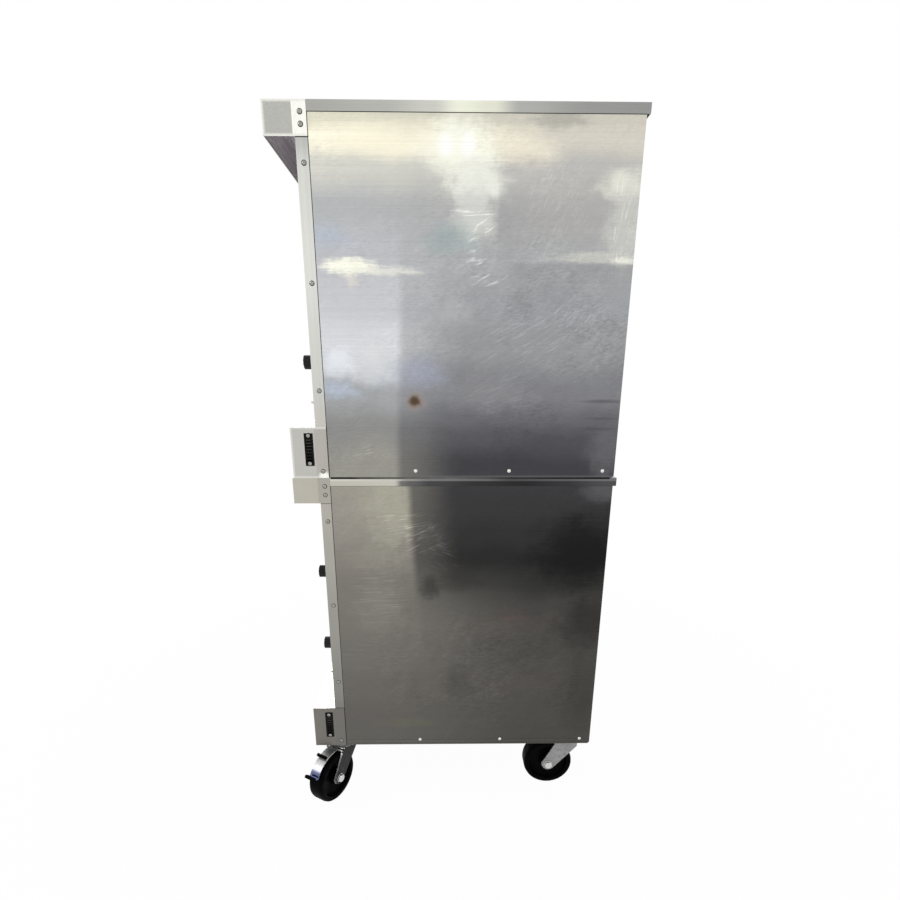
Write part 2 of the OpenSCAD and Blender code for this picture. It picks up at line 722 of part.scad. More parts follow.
// Heating element: two rings round the blower wheel, joined and led out through the back
module heating_element() at_cavity_middle() {
    for (y = [element_y, second_element_y]) translate([0, y, 0]) rotate([90, 0, 0])
        rotate_extrude() translate([element_ring, 0]) circle(r = element_r);
    for (side = [-1, 1]) translate([side * element_leg_x, 0, element_leg_z]) {
        along_y(element_r + 1.5, element_y - element_r - 1, second_element_y + element_r + 1);
        along_y(element_r, second_element_y, cavity_d + liner_t + insulation_t + 12);
    }
    for (turn = [60, 180, 300]) rotate([0, turn, 0])
        block([-3, element_y - element_r - 1, element_ring - 2], [3, cavity_d, element_ring + element_r + 2]);
}
module heating_elements() color(steel_dark) on_both_decks() heating_element();

// Motor on four posts behind the liner
module blower_motor() at_cavity_middle() difference() {
    union() {
        along_y(motor_r, motor_y, motor_y + motor_l);
        for (turn = [45 : 90 : 315]) rotate([0, turn, 0]) translate([motor_r - 8, 0, 0])
            along_y(5, cavity_d + liner_t, motor_y + cut);
        block([-26, motor_y + 6, motor_r - 4], [26, motor_y + motor_l - 6, motor_r + 18]);
    }
    along_y(shaft_r + run_fit, motor_y - cut, motor_y + 30);
    for (k = [0 : 11]) rotate([0, 15 + 30 * k, 0]) translate([motor_r * 0.66, 0, 0])
        along_y(4, motor_y + motor_l - 6, motor_y + motor_l + cut);
}
module blower_motors() color(steel_dark) on_both_decks() blower_motor();

// Blower wheel: curved blades between a back plate and a front ring, on its shaft
blade_r = blade_d * 0.9;
module blade() intersection() {
    difference() {
        circle(r = blade_r + blade_t / 2);
        circle(r = blade_r - blade_t / 2);
    }
    translate([0, -blade_r]) square([2 * blade_r, 2 * blade_r]);
}
module blade_set() intersection() {
    difference() {
        circle(d = blower_d);
        circle(d = blower_d - 2 * blade_d);
    }
    for (k = [0 : blades - 1]) rotate(k * 360 / blades)
        translate([blower_d / 2 - blade_d / 2, -blade_r * 0.9]) rotate(60) blade();
}
module blower_wheel() color(zinc) at_cavity_middle() {
    back = blower_y + blower_w;
    translate([0, blower_y + blade_t / 2, 0]) rotate([-90, 0, 0])
        linear_extrude(blower_w - blade_t) blade_set();
    along_y(blower_d / 2, back - blade_t, back);
    difference() {
        along_y(blower_d / 2, blower_y, blower_y + blade_t);
        along_y(blower_d / 2 - blade_d, blower_y - cut, blower_y + blade_t + cut);
    }
    along_y(20, back - 24, back);
    along_y(shaft_r, back - 28, motor_y + 26);
}

// Casters: side is -1 or 1, front is true or false
function swivel_y(front) = front ? front_swivel_y : rear_swivel_y;
function swivel_turn(side, front) = front ? side * front_turn : 0;
module at_swivel(side, front) oven() translate([side * swivel_x(front), swivel_y(front), 0]) children();
// Turned so that -Y of the caster is the way that it trails
module on_caster(side, front) at_swivel(side, front) rotate(swivel_turn(side, front)) children();

module caster_plate() {
    difference() {
        union() {
            block([-plate_w / 2, -plate_w / 2, caster_h - plate_t], [plate_w / 2, plate_w / 2, caster_h]);
            translate([0, 0, race_z + rest_gap])
                cylinder(r = race_r, h = caster_h - race_z - plate_t + cut / 2);
        }
        for (x = [-1, 1], y = [-1, 1]) translate([x, y, 0] * (plate_w / 2 - 12))
            translate([0, 0, caster_h - plate_t - cut]) cylinder(r = 5.2, h = plate_t + 2 * cut);
    }
    translate([0, 0, crown_z - 4]) cylinder(r = kingpin_r, h = caster_h - crown_z);
    translate([0, 0, crown_z - 4 - 6]) cylinder(r = kingpin_r + 5, h = 6 - rest_gap, $fn = 6);
    translate([0, 0, crown_z - 4 - 6]) cylinder(r = kingpin_r, h = 8);
    for (x = [-1, 1], y = [-1, 1]) translate([x, y, 0] * (plate_w / 2 - 12)) {
        translate([0, 0, caster_h - plate_t - 6]) cylinder(r = 9, h = 6, $fn = 6);
        translate([0, 0, caster_h - plate_t - 8]) cylinder(r = 5, h = 8 + plate_t);
    }
}
module caster_plates() color(zinc) for (side = [-1, 1], front = [true, false])
    at_swivel(side, front) caster_plate();

// Fork: crown, two slanting legs, the axle bolt and the swivel race
leg_w = 46;
module leg_outline() {
    polygon([[-leg_w * 0.62, race_z], [leg_w * 0.62, race_z], [leg_w * 0.62, crown_z - 14],
             [-trail + leg_w * 0.42, wheel_r - 8], [-trail - leg_w * 0.42, wheel_r + 8],
             [-leg_w * 0.62 - 14, crown_z - 10]]);
    translate([-trail, wheel_r]) circle(r = leg_w * 0.42);
    translate([brake_y, brake_z]) circle(r = brake_pin_r + 4);
}
module caster_fork(braked) color(zinc) {
    half = fork_gap / 2;
    difference() {
        block([-half - fork_t, -leg_w * 0.62, crown_z], [half + fork_t, leg_w * 0.62, race_z]);
        translate([0, 0, crown_z - cut]) cylinder(r = kingpin_r + run_fit, h = fork_t + 2 * cut);
    }
    for (side = [-1, 1]) stand_on_side(side < 0 ? -half - fork_t : half, side < 0 ? -half : half + fork_t)
        leg_outline();
    translate([0, -trail, wheel_r]) {
        along_x(axle_r, -half - fork_t - 1, half + fork_t + 1);
        along_x(axle_r + 4, half + fork_t, half + fork_t + 6);
        translate([-half - fork_t - 6, 0, 0]) rotate([0, 90, 0]) cylinder(r = axle_r + 5, h = 6, $fn = 6);
    }
    if (braked) translate([0, brake_y, brake_z]) along_x(brake_pin_r, -half - fork_t - 2, half + fork_t + 2);
}

// Wheel: hub, web and tread turned from one profile
module caster_wheel() color(black) translate([0, -trail, wheel_r]) rotate([0, 90, 0]) {
    tread = wheel_w / 2;
    hub = hub_w / 2;
    rotate_extrude($fn = 96) polygon([
        [axle_r + run_fit, -hub], [22, -hub], [24, -tread + 14], [wheel_r - 20, -tread + 10],
        [wheel_r - 16, -tread], [wheel_r - 5, -tread], [wheel_r - 1.5, -tread + 4], [wheel_r, -tread + 10],
        [wheel_r, tread - 10], [wheel_r - 1.5, tread - 4], [wheel_r - 5, tread], [wheel_r - 16, tread],
        [wheel_r - 20, tread - 10], [24, tread - 14], [22, hub], [axle_r + run_fit, hub]]);
}

// Brake pedal: a shoe bent round the tread, on a pin between the fork's legs, with a step and a release tab
brake_pin_r = 3;
brake_y = -leg_w * 0.62 - 7;
brake_z = crown_z - 3;
shoe_start = 76;
tab_turn = 112;
tab_l = 16;
module shoe_tab(turn, length) translate([-trail, wheel_r]) rotate(turn)
    translate([shoe_r, -pedal_t / 2]) square([length, pedal_t]);
module shoe_outline() {
    far = 2 * shoe_r;
    intersection() {
        translate([-trail, wheel_r]) difference() {
            circle(r = shoe_r + pedal_t);
            circle(r = shoe_r);
        }
        translate([-trail, wheel_r]) polygon([[0, 0], far * [cos(shoe_start), sin(shoe_start)],
            far * [cos(tab_turn), sin(tab_turn)], far * [cos(shoe_end), sin(shoe_end)]]);
    }
    shoe_tab(shoe_end, pedal_step);
    shoe_tab(tab_turn, tab_l);
    translate([brake_y, brake_z]) circle(r = brake_pin_r + 3);
}
module brake_pedal() color(chrome) difference() {
    stand_on_side(-pedal_w / 2, pedal_w / 2) shoe_outline();
    translate([0, brake_y, brake_z]) along_x(brake_pin_r + run_fit, -pedal_w, pedal_w);
}

bottom_pans();
caster_plates();
on_caster(1, true) caster_fork(true);  // caster_fork_front_right
on_caster(-1, true) caster_fork(true);  // caster_fork_front_left
on_caster(1, false) caster_fork(false);  // caster_fork_rear_right
on_caster(-1, false) caster_fork(false);  // caster_fork_rear_left
on_caster(1, true) caster_wheel();  // caster_wheel_front_right
on_caster(-1, true) caster_wheel();  // caster_wheel_front_left
on_caster(1, false) caster_wheel();  // caster_wheel_rear_right
on_caster(-1, false) caster_wheel();  // caster_wheel_rear_left
on_caster(1, true) brake_pedal();  // brake_pedal_right
on_caster(-1, true) brake_pedal();  // brake_pedal_left
on_deck(1) front_frame();  // upper_front_frame
on_deck(0) front_frame();  // lower_front_frame
hinge_brackets();
on_deck(1) top_hood();  // upper_top_hood
on_deck(0) top_hood();  // lower_top_hood
on_deck(1) bottom_cover();  // upper_bottom_cover
on_deck(0) bottom_cover();  // lower_bottom_cover
side_vents();
on_deck(1) side_panel();  // upper_side_panel_right
on_deck(0) side_panel();  // lower_side_panel_right
on_both_decks() mirror([1, 0, 0]) side_panel();  // side_panels_left
on_deck(1) top_panel();  // upper_top_panel
on_deck(0) top_panel();  // lower_top_panel
back_panels();
on_deck(1) cavity();  // upper_cavity
on_deck(0) cavity();  // lower_cavity
insulation();
on_deck(1) door(-1);  // upper_door_left
on_deck(1) door(1);  // upper_door_right
on_deck(0) door(-1);  // lower_door_left
on_deck(0) door(1);  // lower_door_right
on_deck(1) door_glass(-1);  // upper_door_glass_left
on_deck(1) door_glass(1);  // upper_door_glass_right
on_deck(0) door_glass(-1);  // lower_door_glass_left
on_deck(0) door_glass(1);  // lower_door_glass_right
on_deck(1) door_handle();  // upper_door_handle
on_deck(0) door_handle();  // lower_door_handle
door_seals();
control_panels();
control_bodies();
indicator_lamps();
on_deck(1) thermostat_spindle();  // upper_thermostat_spindle
on_deck(0) thermostat_knob();  // lower_thermostat_knob
on_deck(1) timer_knob();  // upper_timer_knob
on_deck(0) timer_knob();  // lower_timer_knob
on_deck(1) power_switch();  // upper_power_switch
on_deck(0) power_switch();  // lower_power_switch
rack_guides();
on_deck(1) rack(high_rung);  // upper_rack_high
on_deck(1) rack(low_rung);  // upper_rack_low
on_deck(0) rack(high_rung);  // lower_rack_high
on_deck(0) rack(low_rung);  // lower_rack_low
fan_baffles();
heating_elements();
blower_motors();
on_deck(1) blower_wheel();  // upper_blower_wheel
on_deck(0) blower_wheel();  // lower_blower_wheel
screws();
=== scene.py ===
"""Looks of a double deck convection oven on casters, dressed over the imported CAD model. Metres throughout."""

import json
import math

import bpy
from mathutils import Matrix, Quaternion, Vector


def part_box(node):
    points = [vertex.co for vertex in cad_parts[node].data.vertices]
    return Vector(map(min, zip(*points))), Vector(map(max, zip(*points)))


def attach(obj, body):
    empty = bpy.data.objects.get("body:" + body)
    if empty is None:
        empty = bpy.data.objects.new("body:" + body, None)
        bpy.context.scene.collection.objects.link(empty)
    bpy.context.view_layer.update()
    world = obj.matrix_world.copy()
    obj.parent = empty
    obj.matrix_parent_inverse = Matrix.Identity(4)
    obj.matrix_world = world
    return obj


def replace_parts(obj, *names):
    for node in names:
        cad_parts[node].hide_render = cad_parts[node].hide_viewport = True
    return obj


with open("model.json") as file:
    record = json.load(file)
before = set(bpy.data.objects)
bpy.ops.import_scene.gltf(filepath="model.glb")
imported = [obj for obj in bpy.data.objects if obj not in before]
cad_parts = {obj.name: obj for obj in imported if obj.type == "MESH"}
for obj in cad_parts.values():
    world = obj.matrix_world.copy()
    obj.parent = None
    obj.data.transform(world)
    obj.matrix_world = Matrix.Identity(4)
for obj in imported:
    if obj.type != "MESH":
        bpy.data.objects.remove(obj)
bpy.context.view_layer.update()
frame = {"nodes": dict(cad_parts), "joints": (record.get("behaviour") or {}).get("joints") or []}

MM = 0.001
IMAGE_SIDE = 900
FRONTWARD = (0, -1, 0)
REARWARD = (0, 1, 0)
UPWARD = (0, 0, 1)

# The oven's own measures, from the frame
upper_low, upper_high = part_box("upper_side_panel_right")
lower_low, lower_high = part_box("lower_side_panel_right")
PANEL_FRONT = upper_low.y
PANEL_BACK = upper_high.y
SIDE_X = upper_high.x
FRAME_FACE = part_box("upper_front_frame")[0].y
DECKS = ("upper", "lower")
SIDES = ("left", "right")
JOINTS = {joint["name"]: joint for joint in frame["joints"]}

# Length over which tones along the depth are given, a little more than the panels' own depth
TONED_LENGTH = 0.75


# Small helpers for node trees
def tone(red, green, blue):
    """A colour given on the 0 to 255 display scale, as the linear colour that nodes use."""
    def linear(level):
        level /= 255
        return level / 12.92 if level <= 0.04045 else ((level + 0.055) / 1.055) ** 2.4
    return (linear(red), linear(green), linear(blue), 1.0)


class Wire:
    """An output in a node tree. Arithmetic on it adds nodes to the tree and gives their output."""

    def __init__(self, tree, socket):
        self.tree = tree
        self.socket = socket

    def __add__(self, other):
        return maths("ADD", self, other)

    def __sub__(self, other):
        return maths("SUBTRACT", self, other)

    def __rsub__(self, other):
        return maths("SUBTRACT", other, self)

    def __mul__(self, other):
        return maths("MULTIPLY", self, other)

    def __truediv__(self, other):
        return maths("DIVIDE", self, other)

    def __rtruediv__(self, other):
        return maths("DIVIDE", other, self)

    def __abs__(self):
        return maths("ABSOLUTE", self)

    def above(self, limit):
        """1 where the value is above a limit, and 0 elsewhere."""
        return maths("GREATER_THAN", self, limit)

    def below(self, limit):
        return maths("LESS_THAN", self, limit)

    def remap(self, low, high, to_low=0.0, to_high=1.0, kind="SMOOTHSTEP"):
        sockets = {"Value": self, "From Min": low, "From Max": high, "To Min": to_low, "To Max": to_high}
        return add_node(self.tree, "ShaderNodeMapRange", sockets, interpolation_type=kind, clamp=True)

    def vector(self, operation, other=(0, 0, 0), output=0):
        return add_node(self.tree, "ShaderNodeVectorMath", {0: self, 1: other}, output, operation=operation)

    def over(self, stretch):
        """The vector divided by a stretch, so that a texture on it is drawn out."""
        return self.vector("DIVIDE", stretch)

    def scaled(self, factor):
        return add_node(self.tree, "ShaderNodeVectorMath", {0: self, "Scale": factor}, operation="SCALE")

    def turned(self, angle):
        """The vector turned about X."""
        sockets = {"Vector": self, "Angle": angle}
        return add_node(self.tree, "ShaderNodeVectorRotate", sockets, rotation_type="X_AXIS")

    def part(self, axis):
        return add_node(self.tree, "ShaderNodeSeparateXYZ", {0: self}, axis)


def put(value, socket):
    """Wires an output to a socket, or sets the socket to a constant."""
    if isinstance(value, Wire):
        value.tree.links.new(value.socket, socket)
    else:
        socket.default_value = value


def add_node(tree, kind, sockets=None, output=0, **settings):
    """Adds a node, fills its sockets and gives one of its outputs."""
    made = tree.nodes.new(kind)
    for key, value in settings.items():
        setattr(made, key, value)
    for key, value in (sockets or {}).items():
        put(value, made.inputs[key])
    return Wire(tree, made.outputs[output]) if len(made.outputs) else None


def maths(operation, first, second=0.0):
    tree = first.tree if isinstance(first, Wire) else second.tree
    return add_node(tree, "ShaderNodeMath", {0: first, 1: second}, operation=operation)


def mixed(share, first, second, kind="RGBA"):
    """Two colours, or two values with kind FLOAT, mixed by a share. The node has other sockets for each kind."""
    inputs, output = ((6, 7), 2) if kind == "RGBA" else ((2, 3), 0)
    sockets = {0: share, inputs[0]: first, inputs[1]: second}
    return add_node(share.tree, "ShaderNodeMix", sockets, output, data_type=kind)


def combined(tree, *parts):
    return add_node(tree, "ShaderNodeCombineXYZ", dict(enumerate(parts)))


def noise(vector, scale, detail=2.0, roughness=0.5, distortion=0.0):
    sockets = {"Vector": vector, "Scale": scale, "Detail": detail, "Roughness": roughness}
    sockets["Distortion"] = distortion
    return add_node(vector.tree, "ShaderNodeTexNoise", sockets, "Fac")


def ramp(value, stops):
    """A colour that changes with a value; stops are (value, tone)."""
    made = value.tree.nodes.new("ShaderNodeValToRGB")
    put(value, made.inputs["Fac"])
    band = made.color_ramp
    band.interpolation = "EASE"
    while len(band.elements) < len(stops):
        band.elements.new(0.5)
    for element, (place, tint) in zip(band.elements, stops):
        element.position = place
        element.color = tone(*tint)
    return Wire(value.tree, made.outputs["Color"])


def object_place(tree):
    return add_node(tree, "ShaderNodeTexCoord", output="Object")


def cells(tree, count, output):
    """Voronoi cells, so many to a metre."""
    sockets = {"Vector": object_place(tree), "Scale": count}
    return add_node(tree, "ShaderNodeTexVoronoi", sockets, output, feature="F1")


def window(value, first, last, soft):
    """1 between two values and 0 outside, with soft ends."""
    return value.remap(first - soft, first + soft) * value.remap(last - soft, last + soft, 1.0, 0.0)


def fading_edge(value, at, fade):
    """0 before a value, 1 just past it, and fading away behind it."""
    return value.remap(at - 0.005, at + 0.006) * value.remap(at, at + fade, 1.0, 0.0)


# Shader node groups: effects that several finishes share
def new_group(name, inputs, *outputs):
    """A node group; its inputs are labels with their values, and its outputs are labels of numbers."""
    group = bpy.data.node_groups.new(name, "ShaderNodeTree")
    for label, value in inputs.items():
        kind = "NodeSocketFloat" if isinstance(value, float) else "NodeSocketVector"
        group.interface.new_socket(label, in_out="INPUT", socket_type=kind).default_value = value
    for label in outputs:
        group.interface.new_socket(label, in_out="OUTPUT", socket_type="NodeSocketFloat")
    sockets = group.nodes.new("NodeGroupInput").outputs
    given = {label: Wire(group, sockets[label]) for label in inputs}
    return group, given, group.nodes.new("NodeGroupOutput").inputs


def brush_lines_group():
    """Fine parallel lines left by the brushing belt, longest along the axis with the largest stretch."""
    group, given, result = new_group("Brush Lines", {"Stretch": (1, 1, 1)}, "Lines", "Fine Lines")
    spread = object_place(group).over(given["Stretch"])
    put(noise(spread, 1.0, detail=2.0, roughness=0.6).remap(0.3, 0.7), result["Lines"])
    put(noise(spread, 4.0, detail=3.0, roughness=0.7).remap(0.3, 0.7), result["Fine Lines"])
    return group


def hand_film_group():
    """Cloudy film of wiped grease, with a softer and a sharper layer."""
    group, given, result = new_group("Hand Film", {"Size": 0.2, "Seed": (0, 0, 0)}, "Film", "Streaks")
    sized = object_place(group).vector("ADD", given["Seed"]).scaled(1.0 / given["Size"])
    cloud = noise(sized, 1.0, detail=4.0, roughness=0.55, distortion=0.8)
    streak = noise(sized.over((1.0, 2.2, 0.8)), 3.0, detail=6.0, roughness=0.7, distortion=0.5)
    put(cloud.remap(0.3, 0.7), result["Film"])
    put(streak.remap(0.52, 0.72), result["Streaks"])
    return group


def soft_patch_group():
    """A patch with a blurred, slightly uneven rim: 1 at its centre and 0 outside its half sizes."""
    inputs = {"Centre": (0, 0, 0), "Half Size": (1, 1, 1), "Core": 0.2, "Unevenness": 0.1, "Ragged": 0.0}
    group, given, result = new_group("Soft Patch", inputs, "Mask")
    place = object_place(group)
    share = place.vector("SUBTRACT", given["Centre"]).over(given["Half Size"])
    ripple = noise(share, 2.0, detail=3.0, distortion=0.5) - 0.5
    rows = noise(place.over((1.0, 0.045, 0.0022)), 1.0, detail=3.0, roughness=0.65)
    smear = noise(place.over((1.0, 0.022, 0.03)), 1.0, detail=5.0, roughness=0.7)
    torn = rows + smear - 1.0
    uneven = share.vector("LENGTH", output="Value") + ripple * given["Unevenness"] + torn * given["Ragged"]
    put(uneven.remap(given["Core"], 1.0, 1.0, 0.0), result["Mask"])
    return group


def hairlines_group():
    """Short straight hairline scratches on a side panel, all turned the same way."""
    inputs = {"Turn": 0.2, "Length": 0.05, "Width": 0.0016, "Seed": 0.0}
    group, given, result = new_group("Hairlines", inputs, "Marks")
    leaning = object_place(group).turned(given["Turn"])
    along = leaning.part(1) / given["Length"]
    across = leaning.part(2) / given["Width"]
    hair = noise(combined(group, given["Seed"], along, across), 1.0, detail=2.0, roughness=0.6, distortion=0.2)
    put(hair.remap(0.55, 0.69), result["Marks"])
    return group


def wear_group():
    """Flecks of rubbed and dulled metal, half a centimetre across, over blotches that lean up and back."""
    group, given, result = new_group("Rubbed Flecks", {"Seed": 0.0}, "Flecks")
    place = object_place(group).vector("ADD", combined(group, given["Seed"], 0.0, 0.0))
    layers = []
    for turn, size, detail in ((-8, (1.0, 0.013, 0.0042), 5.0), (-38, (1.0, 0.055, 0.024), 4.0)):
        leaning = place.turned(math.radians(turn))
        mottle = noise(leaning.over(size), 1.0, detail=detail, roughness=0.72, distortion=0.4)
        layers.append(mottle.remap(0.28, 0.72, 0.0, 1.0, "LINEAR") - 0.5)
    amount = noise(place, 5.0, detail=3.0, roughness=0.6).remap(0.36, 0.62, 0.25, 1.0)
    put((layers[0] * 0.75 + layers[1] * 0.45) * amount, result["Flecks"])
    return group


def crystal_group():
    """Spangle of zinc plating: flat crystals, each a little lighter or darker."""
    group, given, result = new_group("Zinc Spangle", {"Crystals Per Metre": 120.0}, "Crystal")
    colour = cells(group, given["Crystals Per Metre"], "Color")
    put(add_node(group, "ShaderNodeRGBToBW", {0: colour}), result["Crystal"])
    return group


def speck_group():
    """Small round specks, as in porcelain enamel or worn paint."""
    group, given, result = new_group("Specks", {"Specks Per Metre": 200.0, "Speck Size": 0.2}, "Mask")
    put(cells(group, given["Specks Per Metre"], "Distance").below(given["Speck Size"]), result["Mask"])
    return group


GROUPS = {
    "lines": brush_lines_group(),
    "film": hand_film_group(),
    "patch": soft_patch_group(),
    "hairlines": hairlines_group(),
    "wear": wear_group(),
    "crystal": crystal_group(),
    "specks": speck_group(),
}


# Finishes
class Finish:
    """A material with its Principled BSDF; constants go straight onto the shader's own sockets."""

    def __init__(self, name, metallic, roughness, **constants):
        self.material = bpy.data.materials.new(name)
        self.material.use_nodes = True
        self.tree = self.material.node_tree
        self.shader = self.tree.nodes["Principled BSDF"]
        self.place = object_place(self.tree)
        self.fill(Metallic=metallic, Roughness=roughness, **constants)

    def fill(self, **values):
        """Puts constants and wires on the shader's sockets."""
        for key, value in values.items():
            put(value, self.shader.inputs[key.replace("_", " ")])

    def effect(self, name, **values):
        """The outputs of a node group, by their labels."""
        made = self.tree.nodes.new("ShaderNodeGroup")
        made.node_tree = GROUPS[name]
        for key, value in values.items():
            made.inputs[key.replace("_", " ")].default_value = value
        return {output.name: Wire(self.tree, output) for output in made.outputs}

    def film(self, size, *seed):
        return self.effect("film", Size=size, Seed=seed)

    def stained(self, colour, share, stain, size, *seed):
        """A colour with streaks of a stain, and the film that the streaks belong to."""
        layer = self.film(size, *seed)
        return mixed(layer["Streaks"] * share, colour, stain), layer["Film"]

    def bump(self, height, distance):
        sockets = {"Height": height, "Distance": distance, "Strength": 1.0}
        self.fill(Normal=add_node(self.tree, "ShaderNodeBump", sockets))

    def brush(self, colour, axis, contrast=0.05, rough=0.3):
        """Lays a colour with lines brushed along an axis, which also show in the roughness and bump."""
        stretch = tuple(1.6 if i == axis else 0.004 for i in range(3))
        lines = self.effect("lines", Stretch=stretch)
        shade = lines["Lines"] * 0.6 + lines["Fine Lines"] * 0.4
        level = shade.remap(0.0, 1.0, 1.0 - contrast, 1.0 + contrast, "LINEAR")
        roughness = shade.remap(0.0, 1.0, rough - 0.06, rough + 0.08, "LINEAR")
        self.fill(Base_Color=colour.scaled(level), Roughness=roughness)
        self.bump(lines["Fine Lines"], 0.00004)


def times(colour, factor):
    """A constant colour made lighter or darker."""
    return tuple(min(1.0, factor * c) for c in colour[:3]) + (1.0,)


def steel(name, colour, axis=0, contrast=0.04, rough=0.3, film=0.08, seed=0.0):
    """Brushed stainless steel with a cloudy film of grease and a few wiped streaks."""
    finish = Finish(name, 1.0, rough, Anisotropic=0.5)
    layer = finish.film(0.35, seed, seed * 2, seed * 3)
    clouded = mixed(layer["Film"] * (film * 3), colour, times(colour, 0.78))
    stained = mixed(layer["Streaks"] * film, clouded, tone(196, 186, 160))
    finish.brush(stained, axis, contrast, rough)
    return finish.material


def at_depths(finish, stops):
    """A colour that changes from the panels' front rearward; stops are (metres behind that front, tone)."""
    depth = finish.place.part(1) - PANEL_FRONT
    return ramp(depth / TONED_LENGTH, [(at / TONED_LENGTH, tint) for at, tint in stops])


def panel_steel(name, low, high, front_reflection_tones, rear_reflection_tones, step_at, crisp, reflection_patches, scratches, seed, wear, busy,
                slow=0.17, step_share=0.55, spots=(), front_reflection_patches=(), edges=(), ledges=(), hem_light_and_shade=()):
    """Steel of a right side panel, with painted reflections and shade: paler towards the front, darker towards
    the rear and the foot.

    front_reflection_tones and rear_reflection_tones: painted reflections, as (share of the height from the top,
    tone)
    step_at: where the pale part ends, in metres behind the front at the top and at the foot
    crisp: drops between which the end of the pale part turns from soft to sharp, or the other way round
    patches and spots: painted reflections, shade and glints, as (depth, drop, half depth, half height, core,
    tone, strength); spots have smoother rims
    scratches: (depth, drop, half depth, half height, turn in degrees, length, width, strength)
    wear: how much the rubbed flecks lighten and darken the steel
    busy: depth, drop, half depth and half height of the place with the most flecks
    slow: depth behind the step over which the last of the pale tone fades
    step_share: how much of the fading happens right at the step
    front_reflection_patches: patches as above that the step cuts off
    edges: (depth, first drop, last drop, fade, tone, strength) of a reflection that starts at one depth
    ledges: (drop, first depth, last depth, fade, tone, strength) of a reflection that starts at one drop
    hems: (height above the foot, half thickness, brightness) of painted highlight and shade lines along the
    folds at the foot
    """
    finish = Finish(name, 1.0, 0.28, Anisotropic=0.5)
    height = high - low
    depth = finish.place.part(1) - PANEL_FRONT
    drop = high - finish.place.part(2)
    sway = (finish.film(0.3, seed, seed * 2, seed * 3)["Film"] - 0.5) * 0.03
    down = (drop + sway) / height

    def area(at_depth, at_drop, half_depth, half_height, core, uneven, ragged=0.0):
        centre = (SIDE_X, PANEL_FRONT + at_depth, high - at_drop)
        half_size = (1.0, half_depth, half_height)
        return finish.effect("patch", Centre=centre, Half_Size=half_size, Core=core, Unevenness=uneven,
                             Ragged=ragged)["Mask"]

    def patched(colour, patch, uneven, ragged):
        *where, tint, strength = patch
        return mixed(area(*where, uneven, ragged) * strength, colour, tone(*tint))

    # Painted reflections: front_reflection_tones give the pale front part, and rear_reflection_tones the darker
    # rear
    front = ramp(down, front_reflection_tones)
    for patch in front_reflection_patches:
        front = patched(front, patch, 0.8, 0.9)
    past_step = depth + sway * 0.2 - drop.remap(0.0, height, *step_at, "LINEAR")
    sharp = past_step.remap(-0.012, 0.014) * step_share + past_step.remap(0.0, slow) * (1.0 - step_share)
    soft = past_step.remap(-0.16, 0.34)
    rearward = mixed(drop.remap(*crisp), soft, sharp, "FLOAT")
    colour = mixed(rearward, front, ramp(down, rear_reflection_tones))
    # Painted reflections and shade, patch by patch
    for patch in reflection_patches:
        flat = patch[3] < 0.03
        colour = patched(colour, patch, 0.7, 0.8 if flat else 0.45)
    for across, along, lines in ((depth, drop, edges), (drop, depth, ledges)):
        for at, first, last, fade, tint, strength in lines:
            mask = fading_edge(across, at, fade) * window(along, first, last, 0.03)
            colour = mixed(mask * strength, colour, tone(*tint))
    for index, (*where, turn, length, width, strength) in enumerate(scratches):
        marks = finish.effect("hairlines", Turn=math.radians(turn), Length=length, Width=width,
                              Seed=seed + index * 1.3)["Marks"]
        colour = mixed(marks * area(*where, 0.2, 0.6) * strength, colour, colour.scaled(1.95))
    amount = area(*busy, 0.3, 0.6).remap(0.0, 1.0, 0.35 * wear, wear, "LINEAR")
    brightness = finish.effect("wear", Seed=seed)["Flecks"] * amount + 1.0
    # Painted highlight and shade lines along the folds at the foot
    for at_height, half, level in hem_light_and_shade:
        brightness = brightness * abs(drop - (height - at_height)).remap(half, 1.6 * half, level, 1.0)
    colour = colour.scaled(brightness)
    # Painted glints and a few dark marks
    for patch in spots:
        colour = patched(colour, patch, 0.5, 0.0)
    finish.brush(colour, 1, 0.04, 0.28)
    return finish.material
